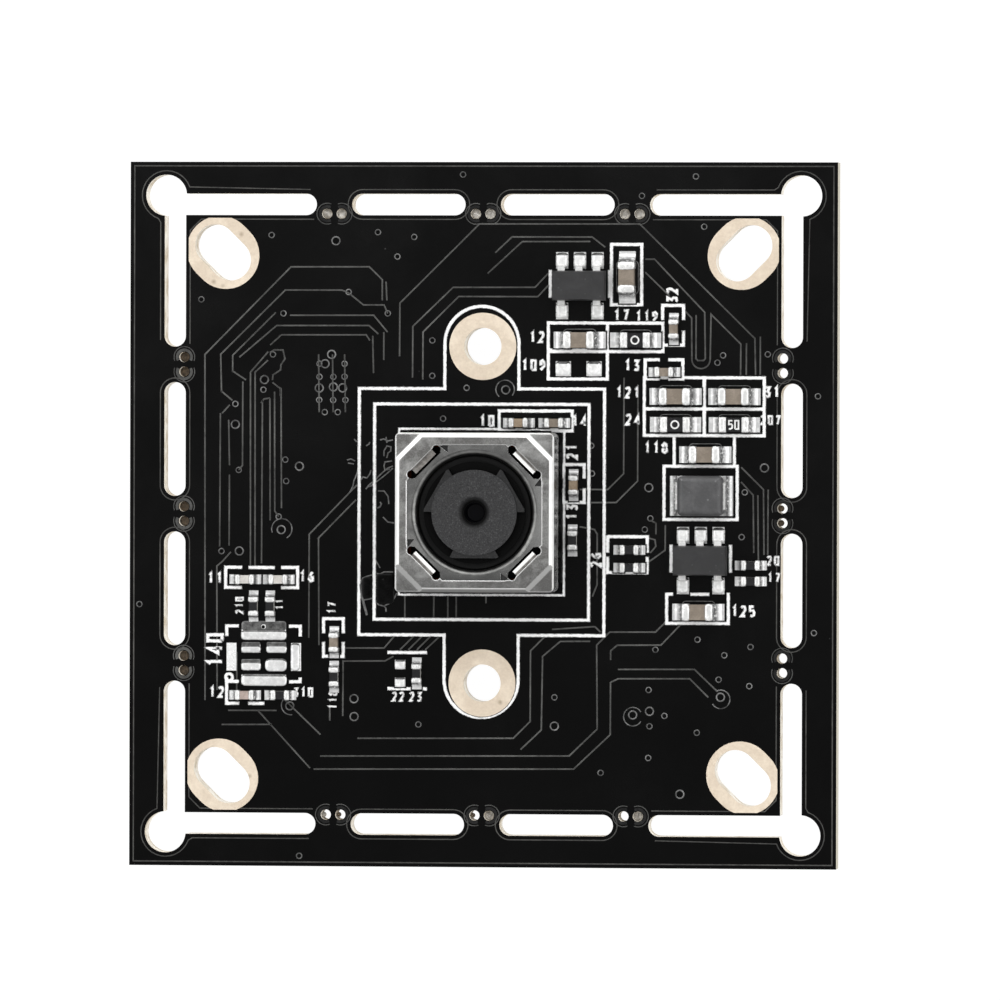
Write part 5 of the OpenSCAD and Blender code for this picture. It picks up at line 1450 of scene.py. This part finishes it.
def back_legend():
    """Corners and a dot round the processor, lines beside the other parts, and numbers."""
    bm = bmesh.new()
    for sx, sy in ((1, 1), (-1, 1), (-1, -1), (1, -1)):
        x = proc_x + sx * 4.4
        y = proc_y + sy * 4.4
        back_line(bm, [(x - sx * 0.9, y), (x, y), (x, y - sy * 0.9)])
    back_line(bm, circle(proc_x + 4.9, proc_y + 4.9, 0.2, 14), closed=True)
    for side in (-1, 1):
        for x, y, off, start, end in ((chip_x, chip_y, 2.75, -2.3, 2.3), (plug_x, plug_y, 3.9, 2.6, -2.0),
                                      (clock_x, clock_y, 1.95, -1.1, 1.1)):
            back_line(bm, [(x + side * off, y + start), (x + side * off, y + end)])
    for digits, x, y in (("301", proc_x - 2.8, proc_y - 5.1), ("302", chip_x - 3.6, chip_y),
                         ("401", plug_x + 5.0, plug_y), ("50", clock_x - 3.0, clock_y),
                         ("1", plug_x - 4.5, plug_y + 2.4)):
        write(bm, digits, x, y, 0, 0.8, 0.14, z=BOTTOM - INK_H * MM, mirror=-1)
    piece("back_legend", bm, ["white_ink"])


back_tracks()
bm = bmesh.new()
vias(bm, BOTTOM, -1)
piece("back_vias", bm, ["masked_via", "hole_shade"])
back_legend()

# ---------------------------------------------------------------- marks on the larger resistors


def resistor_marks():
    """A ring on the first two, a value on the third."""
    bm = bmesh.new()
    for node in LARGE_RESISTORS:
        x, y = centre(node)
        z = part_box(node)[1][2] - 0.001 * MM
        if node == LARGE_RESISTORS[-1]:
            write(bm, "50", x, y, 0, 0.44, 0.085, MARK_H, z)
        else:
            ribbon(bm, circle(x, y, 0.2, 20), 0.085, MARK_H, z, closed=True)
    piece("resistor_marks", bm, ["number_mark"])


resistor_marks()

# ---------------------------------------------------------------- floor


def floor_material():
    """Pale floor that shows nearly white to the camera and still takes the object's shadow."""
    tree, shader = material("floor", Roughness=0.8)
    patches = use(tree, PATCHES, Size=40.0, Amount=0.5, Edge=0.5)
    plug(tree, shader.inputs["Base Color"],
         mix_colour(tree, patches.outputs[0], (0.90, 0.90, 0.90, 1), (0.93, 0.93, 0.93, 1)))
    glow = add(tree, "Emission", None, Color=(1, 1, 1, 1), Strength=1.1)
    rays = add(tree, "LightPath")
    share = math_node(tree, "MAXIMUM", math_node(tree, "MULTIPLY", rays.outputs["Is Camera Ray"], 0.9), 0.5)
    both = add(tree, "MixShader", None, i0=share, i1=shader.outputs[0], i2=glow.outputs[0])
    tree.links.new(both.outputs[0], tree.nodes["Material Output"].inputs["Surface"])


floor_material()
bm = bmesh.new()
bmesh.ops.create_grid(bm, x_segments=2, y_segments=2, size=1.2)
mesh = bpy.data.meshes.new("floor")
bm.to_mesh(mesh)
bm.free()
mesh.materials.append(MATERIALS["floor"])
floor = bpy.data.objects.new("floor", mesh)
floor.location = (0, 0, cad_box[0][2])
scene.collection.objects.link(floor)
